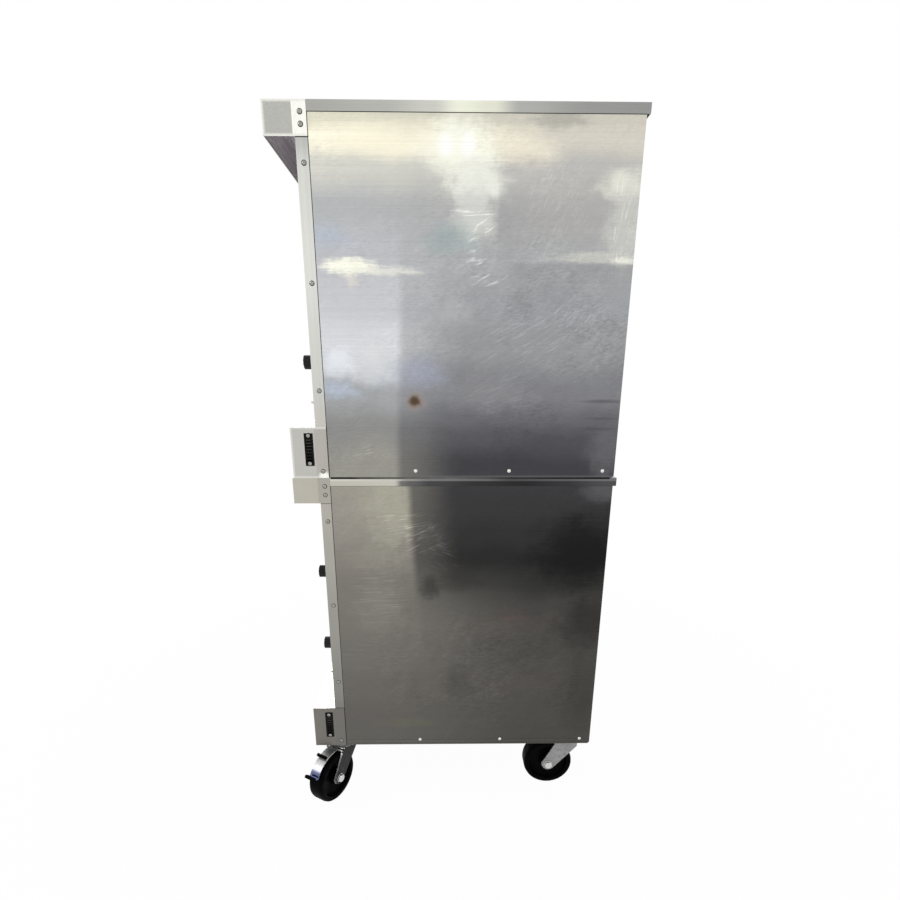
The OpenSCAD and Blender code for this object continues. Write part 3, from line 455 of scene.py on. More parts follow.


# The right side panels' tones, patches, spots, edges, ledges and hems are painted reflections, highlights and
# shade; their scratches and flecks are wear
upper_panel_steel = panel_steel(
    "upper side steel", upper_low.z, upper_high.z,
    front_reflection_tones=[
        (0.0, (212, 210, 194)), (0.045, (222, 219, 199)), (0.09, (254, 249, 226)), (0.15, (212, 211, 202)),
        (0.25, (181, 183, 184)), (0.36, (190, 192, 196)), (0.48, (202, 203, 206)), (0.60, (219, 221, 224)),
        (0.68, (194, 198, 204)), (0.75, (167, 169, 171)), (0.86, (144, 144, 142)), (0.96, (154, 152, 145))],
    rear_reflection_tones=[
        (0.0, (196, 194, 184)), (0.05, (206, 203, 190)), (0.10, (212, 208, 196)), (0.16, (188, 187, 183)),
        (0.27, (173, 172, 171)), (0.38, (172, 173, 174)), (0.49, (161, 162, 165)), (0.61, (153, 154, 156)),
        (0.74, (130, 130, 134)), (0.82, (108, 108, 113)), (0.875, (90, 90, 95)), (0.96, (69, 68, 72))],
    step_at=(0.200, 0.176),
    crisp=(0.10, 0.42),
    reflection_patches=[
        (0.190, 0.070, 0.250, 0.045, 0.30, (254, 247, 222), 0.60),
        (0.440, 0.080, 0.150, 0.048, 0.20, (248, 240, 218), 0.60),
        (0.330, 0.082, 0.125, 0.080, 0.25, (252, 252, 236), 0.90),
        (0.368, 0.150, 0.092, 0.062, 0.35, (238, 239, 229), 0.90),
        (0.362, 0.218, 0.068, 0.075, 0.30, (210, 211, 206), 0.95),
        (0.550, 0.028, 0.090, 0.028, 0.25, (180, 177, 168), 0.90),
        (0.700, 0.155, 0.085, 0.045, 0.15, (238, 237, 224), 0.80),
        (0.715, 0.240, 0.075, 0.120, 0.30, (206, 206, 200), 0.75),
        (0.650, 0.299, 0.130, 0.016, 0.40, (208, 208, 200), 0.70),
        (0.710, 0.308, 0.040, 0.014, 0.30, (240, 240, 228), 0.70),
        (0.076, 0.320, 0.085, 0.024, 0.35, (255, 254, 238), 1.00),
        (0.160, 0.329, 0.110, 0.014, 0.25, (232, 232, 222), 0.75),
        (0.080, 0.350, 0.022, 0.020, 0.20, (232, 224, 216), 0.60),
        (0.030, 0.258, 0.080, 0.038, 0.10, (180, 190, 206), 0.50),
        (0.050, 0.470, 0.090, 0.070, 0.10, (214, 214, 218), 0.40),
        (0.040, 0.530, 0.065, 0.050, 0.20, (240, 243, 248), 0.70),
        (0.115, 0.540, 0.090, 0.060, 0.20, (224, 225, 226), 0.55),
        (0.030, 0.595, 0.085, 0.028, 0.20, (190, 202, 220), 0.60),
        (0.240, 0.555, 0.090, 0.055, 0.10, (164, 170, 188), 0.55),
        (0.310, 0.262, 0.095, 0.050, 0.15, (160, 174, 174), 0.65),
        (0.560, 0.390, 0.110, 0.070, 0.10, (150, 151, 155), 0.45),
        (0.480, 0.400, 0.050, 0.060, 0.20, (146, 146, 149), 0.55),
        (0.400, 0.600, 0.170, 0.075, 0.10, (148, 148, 151), 0.50),
        (0.600, 0.740, 0.240, 0.080, 0.20, (68, 67, 72), 0.35),
        (0.710, 0.735, 0.070, 0.110, 0.25, (108, 107, 111), 0.75),
        (0.320, 0.410, 0.065, 0.060, 0.15, (184, 184, 186), 0.55),
        (0.100, 0.745, 0.100, 0.060, 0.20, (158, 155, 147), 0.40),
    ],
    edges=[
        (0.417, 0.170, 0.300, 0.110, (166, 166, 167), 0.75),
    ],
    ledges=[
        (0.311, 0.450, 0.780, 0.090, (154, 154, 156), 0.75),
        (0.807, 0.215, 0.780, 0.050, (112, 112, 114), 0.80),
    ],
    spots=[
        (0.322, 0.080, 0.062, 0.050, 0.10, (255, 255, 246), 0.35),
        (0.298, 0.080, 0.024, 0.034, 0.15, (255, 255, 252), 1.00),
        (0.348, 0.080, 0.024, 0.036, 0.15, (255, 255, 252), 1.00),
        (0.225, 0.621, 0.036, 0.032, 0.02, (168, 154, 146), 0.60),
        (0.222, 0.621, 0.028, 0.024, 0.15, (136, 114, 96), 0.80),
        (0.221, 0.620, 0.0190, 0.0165, 0.30, (84, 70, 57), 0.95),
        (0.690, 0.620, 0.080, 0.0065, 0.20, (90, 89, 93), 0.65),
        (0.688, 0.662, 0.065, 0.0055, 0.15, (82, 81, 85), 0.45),
        (0.680, 0.687, 0.065, 0.0055, 0.15, (78, 77, 81), 0.45),
    ],
    scratches=[
        (0.385, 0.250, 0.046, 0.064, -36.0, 0.050, 0.0075, 0.75),
        (0.400, 0.345, 0.070, 0.052, -27.0, 0.060, 0.0070, 0.60),
        (0.345, 0.208, 0.090, 0.010, -1.0, 0.070, 0.0034, 0.80),
        (0.375, 0.300, 0.050, 0.060, -16.0, 0.050, 0.0060, 0.50),
        (0.540, 0.200, 0.140, 0.160, -62.0, 0.040, 0.0026, 0.22),
        (0.600, 0.430, 0.090, 0.060, -48.0, 0.050, 0.0026, 0.35),
        (0.480, 0.500, 0.180, 0.140, -28.0, 0.055, 0.0026, 0.35),
        (0.420, 0.620, 0.180, 0.080, -18.0, 0.050, 0.0026, 0.30),
        (0.700, 0.240, 0.060, 0.160, -84.0, 0.045, 0.0026, 0.25),
        (0.110, 0.745, 0.090, 0.030, -16.0, 0.030, 0.0026, 0.40),
    ],
    seed=1.7, wear=0.75, busy=(0.520, 0.470, 0.360, 0.280))

lower_panel_steel = panel_steel(
    "lower side steel", lower_low.z, lower_high.z,
    front_reflection_tones=[
        (0.0, (160, 156, 146)), (0.08, (156, 152, 143)), (0.17, (150, 146, 138)), (0.28, (136, 132, 125)),
        (0.38, (126, 123, 116)), (0.50, (122, 119, 113)), (0.62, (116, 113, 108)), (0.75, (108, 105, 100)),
        (0.88, (102, 99, 95)), (1.0, (100, 98, 93))],
    rear_reflection_tones=[
        (0.0, (64, 64, 66)), (0.10, (60, 60, 61)), (0.18, (54, 54, 54)), (0.28, (46, 46, 46)),
        (0.36, (56, 56, 55)), (0.44, (74, 72, 70)), (0.50, (81, 78, 75)), (0.62, (80, 78, 75)),
        (0.75, (84, 81, 77)), (0.88, (80, 79, 75)), (1.0, (78, 77, 73))],
    step_at=(0.200, 0.250),
    crisp=(0.42, 0.20),
    front_reflection_patches=[
        (0.150, 0.055, 0.100, 0.190, 0.15, (178, 177, 157), 0.60),
        (0.120, 0.360, 0.100, 0.120, 0.10, (142, 140, 131), 0.45),
        (0.110, 0.210, 0.120, 0.060, 0.10, (160, 158, 146), 0.35),
    ],
    reflection_patches=[
        (0.670, 0.205, 0.190, 0.150, 0.25, (28, 28, 28), 0.80),
        (0.715, 0.030, 0.085, 0.044, 0.25, (96, 96, 99), 0.75),
        (0.700, 0.410, 0.130, 0.120, 0.20, (38, 38, 37), 0.65),
        (0.700, 0.640, 0.100, 0.200, 0.15, (60, 59, 56), 0.55),
        (0.255, 0.305, 0.040, 0.050, 0.15, (62, 61, 59), 0.70),
        (0.340, 0.280, 0.110, 0.050, 0.10, (52, 52, 51), 0.45),
        (0.470, 0.400, 0.100, 0.045, 0.20, (90, 82, 78), 0.35),
        (0.485, 0.395, 0.070, 0.012, 0.20, (102, 84, 78), 0.30),
        (0.190, 0.735, 0.110, 0.022, 0.20, (106, 106, 88), 0.45),
        (0.215, 0.440, 0.030, 0.130, 0.10, (122, 118, 113), 0.45),
        (0.300, 0.470, 0.030, 0.120, 0.10, (106, 100, 96), 0.40),
        (0.440, 0.600, 0.160, 0.060, 0.10, (90, 88, 84), 0.30),
        (0.335, 0.600, 0.065, 0.080, 0.20, (80, 78, 75), 0.60),
    ],
    scratches=[
        (0.200, 0.125, 0.120, 0.050, -9.0, 0.075, 0.0026, 1.00),
        (0.240, 0.170, 0.110, 0.060, -24.0, 0.055, 0.0026, 1.00),
        (0.290, 0.215, 0.080, 0.060, 22.0, 0.040, 0.0026, 0.90),
        (0.270, 0.150, 0.080, 0.070, -42.0, 0.035, 0.0026, 0.80),
        (0.120, 0.330, 0.120, 0.140, -2.0, 0.090, 0.0026, 0.35),
        (0.110, 0.500, 0.120, 0.100, -2.0, 0.080, 0.0026, 0.25),
        (0.420, 0.620, 0.200, 0.080, -30.0, 0.045, 0.0026, 0.25),
    ],
    seed=4.1, wear=0.65, slow=0.13, step_share=0.68, busy=(0.420, 0.560, 0.420, 0.240),
    hem_light_and_shade=[(0.0165, 0.0010, 0.80), (0.0135, 0.0010, 1.12), (0.0050, 0.0012, 0.84)])


PLAIN_FOLD = (184, 184, 180)


def folded_steel(name, node, end_tone, lap_tone, lit_top_tone=PLAIN_FOLD, inside=0.2, hollow_light_tone=PLAIN_FOLD,
                 glare=None, rim_tone=None):
    """Steel of a hood or cover, with painted reflections and shade: its ends, the laps over the frame, its top
    and the rest each have a tone.

    inside: metallic share of the faces on its hollow side
    hollow_light_tone: tone of those faces; a pale one is painted light on their shade
    glare: (y, z, half width, half height) of a white reflection on the right end
    rim_tone: tone of the ends' outer edges, where the folds catch the light
    """
    finish = Finish(name, 1.0, 0.3, Anisotropic=0.4)
    low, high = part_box(node)
    sideways, rearward, upward = [finish.place.part(axis) for axis in range(3)]
    at_lap = rearward.above(FRAME_FACE - 4 * MM)
    end = mixed(at_lap, tone(*end_tone), tone(*lap_tone))
    if rim_tone:
        inward = maths("MINIMUM", maths("MINIMUM", rearward - low.y, high.z - upward), upward - low.z)
        end = mixed(inward.remap(1 * MM, 7 * MM, 1.0, 0.0), end, tone(*rim_tone))
    # Painted light: the top faces take lit_top_tone, as lit from above
    at_top = upward.above(high.z - 0.4 * MM)
    colour = mixed(at_top, tone(*PLAIN_FOLD), tone(*lit_top_tone))
    colour = mixed(sideways.above(SIDE_X + 0.2 * MM), colour, end)
    # Painted light: the hollow side's faces take hollow_light_tone over their shade
    outside = maths("MAXIMUM", abs(sideways).above(SIDE_X - 0.2 * MM), rearward.below(low.y + 1 * MM))
    bright = maths("MAXIMUM", outside, at_top)
    colour = mixed(bright, tone(*hollow_light_tone), colour)
    colour = mixed(finish.film(0.12, 4.0, 1.0, 9.0)["Film"] * 0.3, colour, colour.scaled(0.86))
    if glare:
        at_y, at_z, *half_size = glare
        spot = finish.effect("patch", Centre=(SIDE_X, at_y, at_z), Half_Size=(0.05, *half_size), Core=0.3)
        colour = mixed(spot["Mask"], colour, tone(255, 255, 248))
    finish.brush(colour, 0, 0.04)
    finish.fill(Metallic=bright.remap(0.0, 1.0, inside, 1.0, "LINEAR"))
    return finish.material


def cap_steel(name, node, stops, rim_highlight_stops=None):
    """Steel of a top panel: plain, but its right folded edge changes in tone rearward with painted reflections
    and shade, and that edge's rim, where given, with a painted highlight.
    """
    finish = Finish(name, 1.0, 0.3, Anisotropic=0.4)
    folded = at_depths(finish, stops)
    # Painted highlight along the rim of the folded edge
    if rim_highlight_stops:
        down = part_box(node)[1].z - finish.place.part(2)
        folded = mixed(down.remap(6.5 * MM, 9.5 * MM, 1.0, 0.0), folded, at_depths(finish, rim_highlight_stops))
    at_right = finish.place.part(0).above(SIDE_X - 0.5 * MM)
    finish.brush(mixed(at_right, tone(176, 176, 172), folded), 1)
    return finish.material


def strip_steel(name, low, high, stops):
    """Steel of a front frame's side strip, its tone changing with the height as painted reflections and shade;
    stops are (share of the height from the top, tone).
    """
    finish = Finish(name, 1.0, 0.3, Anisotropic=0.4)
    finish.brush(ramp((high - finish.place.part(2)) / (high - low), stops), 2)
    return finish.material


def zinc(name, colour, spread=0.18, rough=0.42, lit_edges=None):
    """Zinc plate or cast zinc: spangle with dull streaks.

    lit_edges: (tone, way) of a painted highlight on the edges that face one way; on the oven's left side the way
    is mirrored
    """
    finish = Finish(name, 0.9, rough)
    crystal = finish.effect("crystal", Crystals_Per_Metre=130.0)["Crystal"]
    spangled = mixed(crystal, times(colour, 1 - spread), times(colour, 1 + spread))
    plated, cloud = finish.stained(spangled, 0.35, tone(96, 90, 82), 0.05, 3.0, 1.0, 2.0)
    # Painted highlight on the edges that face the light
    if lit_edges:
        highlight_tone, lit_way = lit_edges
        normal = add_node(finish.tree, "ShaderNodeTexCoord", output="Normal")
        side = finish.place.part(0)
        outward = normal.part(0) * maths("SIGN", side)
        folded = combined(finish.tree, outward, normal.part(1), normal.part(2))
        facing = folded.vector("DOT_PRODUCT", lit_way, "Value")
        plated = mixed(facing.remap(0.4, 0.6), plated, tone(*highlight_tone))
    finish.fill(Base_Color=plated, Roughness=crystal.remap(0.2, 0.8, rough - 0.08, rough + 0.1))
    finish.bump(cloud, 0.0001)
    return finish.material


def chrome(name, colour, rough=0.14):
    """Bright plate with faint dull streaks."""
    finish = Finish(name, 1.0, rough)
    wiped, cloud = finish.stained(colour, 0.35, tone(120, 118, 114), 0.03, 5.0, 2.0, 7.0)
    finish.fill(Base_Color=wiped, Roughness=cloud.remap(0.0, 1.0, rough, rough + 0.16))
    return finish.material


def shoe_plate(name, blued, silver):
    """Chrome of the brake shoes: bluish low down, and dull silver towards the pivot."""
    finish = Finish(name, 1.0, 0.14)
    blued_below, silver_above = 0.128, 0.146
    upward = finish.place.part(2).remap(blued_below, silver_above)
    plated = finish.stained(mixed(upward, blued, silver), 0.8, tone(70, 70, 78), 0.009, 5.0, 2.0, 7.0)[0]
    finish.fill(Base_Color=plated, Roughness=upward.remap(0.0, 1.0, 0.16, 0.36, "LINEAR"))
    return finish.material


def screw_plate(name, pale, dim):
    """Plate of the cross-head screws, one plate in painted light and shade: pale at the panels' feet, dimmer in
    the front frame and the hoods.
    """
    finish = Finish(name, 1.0, 0.25)
    colour = mixed(finish.place.part(1).above(PANEL_FRONT), dim, pale)
    finish.fill(Base_Color=finish.stained(colour, 0.5, tone(96, 92, 86), 0.01, 5.0, 2.0, 7.0)[0])
    return finish.material


def moulded(name, colour, rough, worn, grain=900.0, shine=0.25):
    """Moulded plastic or rubber: fine grain, dusty film and a paler worn tone."""
    finish = Finish(name, 0.0, rough, Specular_IOR_Level=shine)
    dusted, cloud = finish.stained(colour, 0.5, worn, 0.04, 1.0, 6.0, 2.0)
    finish.fill(Base_Color=dusted, Roughness=cloud.remap(0.0, 1.0, rough - 0.08, rough + 0.12))
    finish.bump(noise(finish.place, grain, detail=3.0, roughness=0.6), 0.00005)
    return finish.material


def joint_rubber(name, stops):
    """A dark strip of painted shade in the joint between the decks, with painted light on its pale stretches;
    stops are (metres behind the panels' front, tone).
    """
    finish = Finish(name, 0.0, 0.7, Specular_IOR_Level=0.15)
    cloud = finish.film(0.04, 1.0, 6.0, 2.0)["Film"]
    colour = at_depths(finish, stops)
    finish.fill(Base_Color=mixed(cloud, colour, colour.scaled(0.8)),
                Roughness=cloud.remap(0.0, 1.0, 0.6, 0.8))
    finish.bump(noise(finish.place, 700.0, detail=3.0), 0.00005)
    return finish.material


def porcelain(name):
    """Dark porcelain enamel with pale specks and baked brown streaks."""
    finish = Finish(name, 0.0, 0.22, Coat_Weight=0.5)
    specks = finish.effect("specks", Specks_Per_Metre=420.0, Speck_Size=0.16)["Mask"]
    speckled = mixed(specks * 0.7, tone(62, 66, 76), tone(150, 154, 160))
    baked, cloud = finish.stained(speckled, 0.55, tone(70, 48, 30), 0.12, 2.0, 2.0, 5.0)
    finish.fill(Base_Color=baked, Roughness=cloud.remap(0.0, 1.0, 0.16, 0.4))
    finish.bump(cloud, 0.0001)
    return finish.material


def pane(name):
    """Heat-proof glass with a light film."""
    finish = Finish(name, 0.0, 0.04, Transmission_Weight=1.0, IOR=1.47)
    layer = finish.film(0.1, 8.0, 3.0, 1.0)
    finish.fill(Base_Color=mixed(layer["Film"], tone(224, 227, 225), tone(230, 233, 230)),
                Roughness=layer["Streaks"].remap(0.0, 1.0, 0.0, 0.02))
    return finish.material


def lens(name, colour):
    """Ribbed lens of a pilot lamp, faintly lit."""
    finish = Finish(name, 0.0, 0.12, Emission_Strength=0.25, Coat_Weight=0.6)
    rings = add_node(finish.tree, "ShaderNodeTexWave", {"Vector": finish.place, "Scale": 260.0}, "Fac",
                     wave_type="BANDS", bands_direction="Z")
    lit = mixed(rings, colour, times(colour, 0.55))
    finish.fill(Base_Color=lit, Emission_Color=lit)
    finish.bump(rings, 0.0002)
    return finish.material


def wool(name):
    """Mineral wool: matted fibres, pale yellow."""
    finish = Finish(name, 0.0, 0.95, Sheen_Weight=0.2)
    fibres = noise(finish.place.over((0.03, 0.004, 0.03)), 1.0, detail=6.0, roughness=0.7, distortion=1.5)
    finish.fill(Base_Color=mixed(fibres, tone(196, 180, 128), tone(232, 222, 184)))
    finish.bump(fibres, 0.002)
    return finish.material


def hot_tube(name):
    """Sheath of a heating element: straw, brown and blue heat tints over grey."""
    finish = Finish(name, 0.85, 0.5)
    heat = noise(finish.place, 14.0, detail=3.0, distortion=0.4)
    tints = [(0.3, (84, 84, 86)), (0.45, (104, 92, 74)), (0.58, (82, 70, 72)), (0.7, (70, 74, 88))]
    finish.fill(Base_Color=ramp(heat, tints), Roughness=heat.remap(0.3, 0.7, 0.4, 0.65))
    return finish.material


def painted(name, colour, rough=0.5):
    """Sprayed motor paint with orange peel and a few chips."""
    finish = Finish(name, 0.0, rough)
    peel = noise(finish.place, 350.0, detail=2.0)
    chips = finish.effect("specks", Specks_Per_Metre=60.0, Speck_Size=0.1)["Mask"]
    finish.fill(Base_Color=mixed(chips * 0.8, colour, tone(150, 148, 144)),
                Roughness=peel.remap(0.3, 0.7, rough - 0.1, rough + 0.1))
    finish.bump(peel, 0.0001)
    return finish.material


def grey(level):
    return tone(level, level, level)


WAY_OF_LIT_EDGES = (0.866, -0.5, 0.0)
# The two decks' strips, caps, hoods, covers and right side panels are one steel; their different tones are
# painted reflections and shade
FINISH = {
    "stainless": steel("stainless steel", tone(172, 172, 168), seed=0.5),
    "door steel": steel("door steel", tone(176, 176, 173), rough=0.26, seed=2.2),
    "left side steel": steel("left side steel", grey(160), axis=1, contrast=0.05, film=0.14, seed=6.0),
    "upper strip steel": strip_steel("upper strip steel", upper_low.z, upper_high.z, [
        (0.08, (188, 189, 184)), (0.16, (214, 214, 209)), (0.4, (222, 223, 216)), (0.65, (212, 212, 207)),
        (0.85, (200, 199, 192))]),
    "lower strip steel": strip_steel("lower strip steel", lower_low.z, lower_high.z, [
        (0.08, (182, 178, 169)), (0.25, (172, 170, 161)), (0.5, (156, 156, 149)), (0.75, (142, 140, 134)),
        (0.9, (122, 120, 114))]),
    "upper cap steel": cap_steel("upper cap steel", "upper_top_panel", [
        (0.0, (170, 170, 165)), (0.16, (182, 182, 177)), (0.27, (204, 204, 196)), (0.33, (238, 240, 222)),
        (0.40, (226, 227, 210)), (0.46, (176, 176, 172)), (0.62, (154, 154, 152)), (0.75, (150, 150, 149))]),
    "lower cap steel": cap_steel("lower cap steel", "lower_top_panel", [
        (0.0, (196, 193, 182)), (0.165, (201, 198, 187)), (0.185, (116, 114, 112)), (0.21, (100, 99, 99)),
        (0.26, (74, 73, 73)), (0.39, (55, 55, 56)), (0.50, (47, 47, 48)), (0.60, (58, 58, 60)),
        (0.72, (80, 80, 81))],
        rim_highlight_stops=[
            (0.0, (212, 209, 200)), (0.16, (204, 202, 192)), (0.20, (156, 155, 150)), (0.26, (126, 126, 126)),
            (0.39, (112, 112, 113)), (0.47, (84, 84, 86)), (0.60, (98, 98, 100)), (0.72, (116, 116, 118))]),
    # The hoods' and covers' end, lap and top tones are painted reflections and shade; the upper hood's
    # near-white hollow tone is painted light
    "upper hood steel": folded_steel(
        "upper hood steel", "upper_top_hood", (184, 184, 178), (250, 250, 242), inside=0.3,
        hollow_light_tone=(252, 244, 252), rim_tone=(236, 236, 228)),
    "lower hood steel": folded_steel("lower hood steel", "lower_top_hood", (190, 186, 174), (176, 173, 164)),
    "upper cover steel": folded_steel(
        "upper cover steel", "upper_bottom_cover", (194, 193, 187), (184, 180, 173), (246, 246, 238),
        glare=(-0.326, 1.009, 0.019, 0.014), rim_tone=(222, 222, 216)),
    "lower cover steel": folded_steel(
        "lower cover steel", "lower_bottom_cover", (124, 120, 115), (120, 117, 112), (252, 252, 240)),
    "galvanised": zinc("galvanised sheet", tone(176, 178, 180)),
    "cast zinc": zinc("cast zinc", tone(132, 132, 133), 0.25, 0.5),
    # Front and rear forks are one zinc: the front forks' dark tone is painted shade, with a painted highlight on
    # their edges that face WAY_OF_LIT_EDGES
    "fork zinc": zinc("fork zinc", grey(150), 0.26, 0.45),
    "shaded fork zinc": zinc("shaded fork zinc", grey(44), 0.26, 0.45, ((226, 226, 222), WAY_OF_LIT_EDGES)),
    "vent wire": zinc("vent wire", tone(104, 98, 90), 0.2, 0.5),
    "bright plate": chrome("bright plate", tone(205, 205, 204)),
    "shoe plate": shoe_plate("shoe plate", tone(104, 110, 140), tone(184, 184, 183)),
    "rack wire": chrome("rack wire", tone(176, 176, 172), 0.24),
    "screw steel": screw_plate("screw steel", tone(236, 235, 230), tone(166, 165, 160)),
    "porcelain": porcelain("porcelain enamel"),
    "motor paint": painted("motor paint", tone(58, 60, 62)),
    "element": hot_tube("element sheath"),
    "black plastic": moulded("black plastic", tone(22, 22, 23), 0.42, grey(52)),
    "vent black": moulded("vent black", grey(9), 0.5, tone(44, 37, 32), shine=0.12),
    "wheel rubber": moulded("wheel rubber", tone(3, 3, 4), 0.55, grey(12), grain=500.0, shine=0.03),
    "seal": moulded("seal", tone(58, 56, 54), 0.7, tone(84, 78, 70), grain=700.0),
    "gasket": moulded("gasket", grey(12), 0.7, tone(34, 32, 30), grain=700.0, shine=0.1),
    "deck joint shade": joint_rubber("deck joint shade", [
        (0.0, (18, 18, 18)), (0.055, (24, 24, 24)), (0.085, (84, 83, 80)), (0.16, (112, 111, 107)),
        (0.27, (116, 115, 113)), (0.39, (96, 96, 95)), (0.47, (58, 58, 58)), (0.60, (40, 40, 41)),
        (0.72, (24, 24, 25))]),
    "shadow seam": moulded("shadow seam", tone(64, 63, 62), 0.8, tone(92, 90, 86), grain=600.0),
    "white paint": moulded("white paint", tone(224, 224, 220), 0.45, tone(190, 190, 184)),
    "amber": lens("amber lens", tone(226, 128, 24)),
    "wool": wool("mineral wool"),
    "glass": pane("window glass"),
    "upper panel": upper_panel_steel,
    "lower panel": lower_panel_steel,
}

# The finish of each node, by its name or else by what its name ends or starts with
NODE_FINISH = {
    "bottom_pans": "galvanised", "caster_plates": "cast zinc", "side_vents": "vent black",
    "upper_side_panel_right": "upper panel", "lower_side_panel_right": "lower panel",
    "side_panels_left": "left side steel", "back_panels": "galvanised", "insulation": "wool",
    "door_seals": "seal", "control_panels": "stainless", "control_bodies": "black plastic",
    "indicator_lamps": "amber", "rack_guides": "rack wire", "fan_baffles": "porcelain",
    "heating_elements": "element", "blower_motors": "motor paint", "screws": "screw steel",
    "hinge_brackets": "cast zinc", "upper_thermostat_spindle": "rack wire",
}
ENDINGS = {
    "front_frame": "strip steel", "top_hood": "hood steel", "bottom_cover": "cover steel",
    "top_panel": "cap steel", "cavity": "porcelain", "door_left": "door steel", "door_right": "door steel",
    "door_glass_left": "glass", "door_glass_right": "glass", "door_handle": "bright plate",
    "thermostat_knob": "black plastic", "timer_knob": "black plastic", "power_switch": "bright plate",
    "rack_low": "rack wire", "rack_high": "rack wire", "blower_wheel": "galvanised",
}
BEGINNINGS = {
    "caster_fork_front": "shaded fork zinc", "caster_fork_rear": "fork zinc", "caster_wheel": "wheel rubber",
    "brake_pedal": "shoe plate",
}


def finish_of(node):
    if node in NODE_FINISH:
        return NODE_FINISH[node]
    for beginning, finish in BEGINNINGS.items():
        if node.startswith(beginning):
            return finish
    deck, rest = node.split("_", 1)
    finish = ENDINGS[rest]
    return finish if finish in FINISH else f"{deck} {finish}"


for node, made in frame["nodes"].items():
    made.data.materials.clear()
    made.data.materials.append(FINISH[finish_of(node)])


# Modelling: every added piece is made in edit mode and then set in place
SMOOTH_ANGLE = math.radians(35)
SHARP_ANGLE = math.radians(60)


def select_only(*chosen):
    bpy.ops.object.select_all(action="DESELECT")
    for each in chosen:
        each.select_set(True)
    bpy.context.view_layer.objects.active = chosen[-1]


def apply_place(made):
    select_only(made)
    bpy.ops.object.transform_apply(location=True, rotation=True, scale=True)
    return made


def apply_modifier(made, modifier):
    select_only(made)
    bpy.ops.object.modifier_apply(modifier=modifier.name)


def just_added(name, scale=(1, 1, 1)):
    """The piece that was just added, with its name, scale and place settled."""
    made = bpy.context.object
    made.name = name
    made.scale = scale
    return apply_place(made)


def start_edit(made, kind="FACE", action="SELECT"):
    select_only(made)
    bpy.ops.object.mode_set(mode="EDIT")
    bpy.ops.mesh.select_mode(type=kind)
    bpy.ops.mesh.select_all(action=action)


def pick_faces(made, test):
    """Selects, in edit mode, the faces whose normals pass a test."""
    bpy.ops.mesh.select_mode(type="FACE")
    bpy.ops.mesh.select_all(action="DESELECT")
    bpy.ops.object.mode_set(mode="OBJECT")
    for face in made.data.polygons:
        face.select = bool(test(face.normal))
    bpy.ops.object.mode_set(mode="EDIT")


def extrude(*way):
    bpy.ops.mesh.extrude_region_move(TRANSFORM_OT_translate={"value": way})


def end_edit(made, weld=False):
    bpy.ops.mesh.select_all(action="SELECT")
    if weld:
        bpy.ops.mesh.remove_doubles(threshold=0.000002)
    bpy.ops.mesh.normals_make_consistent(inside=False)
    bpy.ops.object.mode_set(mode="OBJECT")
    bpy.ops.object.shade_smooth_by_angle(angle=SMOOTH_ANGLE)
    return made


def turned(name, rings, sides=48):
    """A round piece about Z, raised ring by ring from (radius, height) in mm. A hoop ends where it starts."""
    hoop = rings[0] == rings[-1]
    radius, height = rings[0]
    fill = "NOTHING" if hoop else "NGON"
    bpy.ops.mesh.primitive_circle_add(vertices=sides, radius=radius * MM, fill_type=fill,
                                      location=(0, 0, height * MM))
    made = just_added(name)
    start_edit(made, "EDGE" if hoop else "FACE")
    for wide, high in rings[1:]:
        extrude(0, 0, (high - height) * MM)
        share = wide / radius
        bpy.ops.transform.resize(value=(share, share, 1), center_override=(0, 0, high * MM))
        radius, height = wide, high
    return end_edit(made, weld=hoop)


def slab(name, low, high, edge, segments=2):
    """A box between two corners in metres, with edges rounded by so many mm."""
    low, high = Vector(low), Vector(high)
    bpy.ops.mesh.primitive_cube_add(size=1, location=(low + high) / 2)
    made = just_added(name, high - low)
    start_edit(made, "EDGE")
    bpy.ops.mesh.bevel(offset=edge * MM, segments=segments, affect="EDGES")
    return end_edit(made)


def slab_about(name, base, low, high, edge, segments=2):
    """A slab whose corners are given in mm from a base point."""
    base = Vector(base)
    return slab(name, base + Vector(low) * MM, base + Vector(high) * MM, edge, segments)


def flat_frame(name, box, y, insets, width, depth, edge):
    """A rectangular frame that faces -Y, standing forward of a plane y by depth; its sizes are in mm.

    insets: how far its outline lies inside the box, across and upward
    """
    low, high = box
    middle = (low + high) / 2
    bpy.ops.mesh.primitive_plane_add(size=1, location=(middle.x, y, middle.z), rotation=(math.pi / 2, 0, 0))
    across, upward = insets
    made = just_added(name, (high.x - low.x - 2 * across * MM, high.z - low.z - 2 * upward * MM, 1))
    start_edit(made)
    bpy.ops.mesh.inset(thickness=width * MM)
    bpy.ops.mesh.delete(type="FACE")
    bpy.ops.mesh.select_all(action="SELECT")
    extrude(0, -depth * MM, 0)
    bpy.ops.mesh.select_mode(type="EDGE")
    bpy.ops.mesh.select_all(action="DESELECT")
    bpy.ops.mesh.edges_select_sharp(sharpness=SHARP_ANGLE)
    bpy.ops.mesh.bevel(offset=edge * MM, segments=2, affect="EDGES")
    return end_edit(made)


def stand(made, place, axis=UPWARD, spin=0.0):
    """Sets a piece that was modelled about Z at a place, with its Z along an axis."""
    made.rotation_mode = "QUATERNION"
    made.rotation_quaternion = Vector(axis).to_track_quat("Z", "Y") @ Quaternion((0, 0, 1), spin)
    made.location = place
    return apply_place(made)


def copy_of(made):
    select_only(made)
    bpy.ops.object.duplicate(linked=False)
    return bpy.context.object


def discard(made):
    bpy.data.objects.remove(made, do_unlink=True)


def copies_at(made, spots, spin=0.0):
    """Copies of a piece at (place, axis), each spun further than the last; the piece itself goes."""
    placed = [stand(copy_of(made), place, axis, index * spin) for index, (place, axis) in enumerate(spots)]
    discard(made)
    return placed


def joined(name, parts):
    select_only(*parts)
    if len(parts) > 1:
        bpy.ops.object.join()
    made = bpy.context.object
    made.name = name
    made.data.name = name
    return made


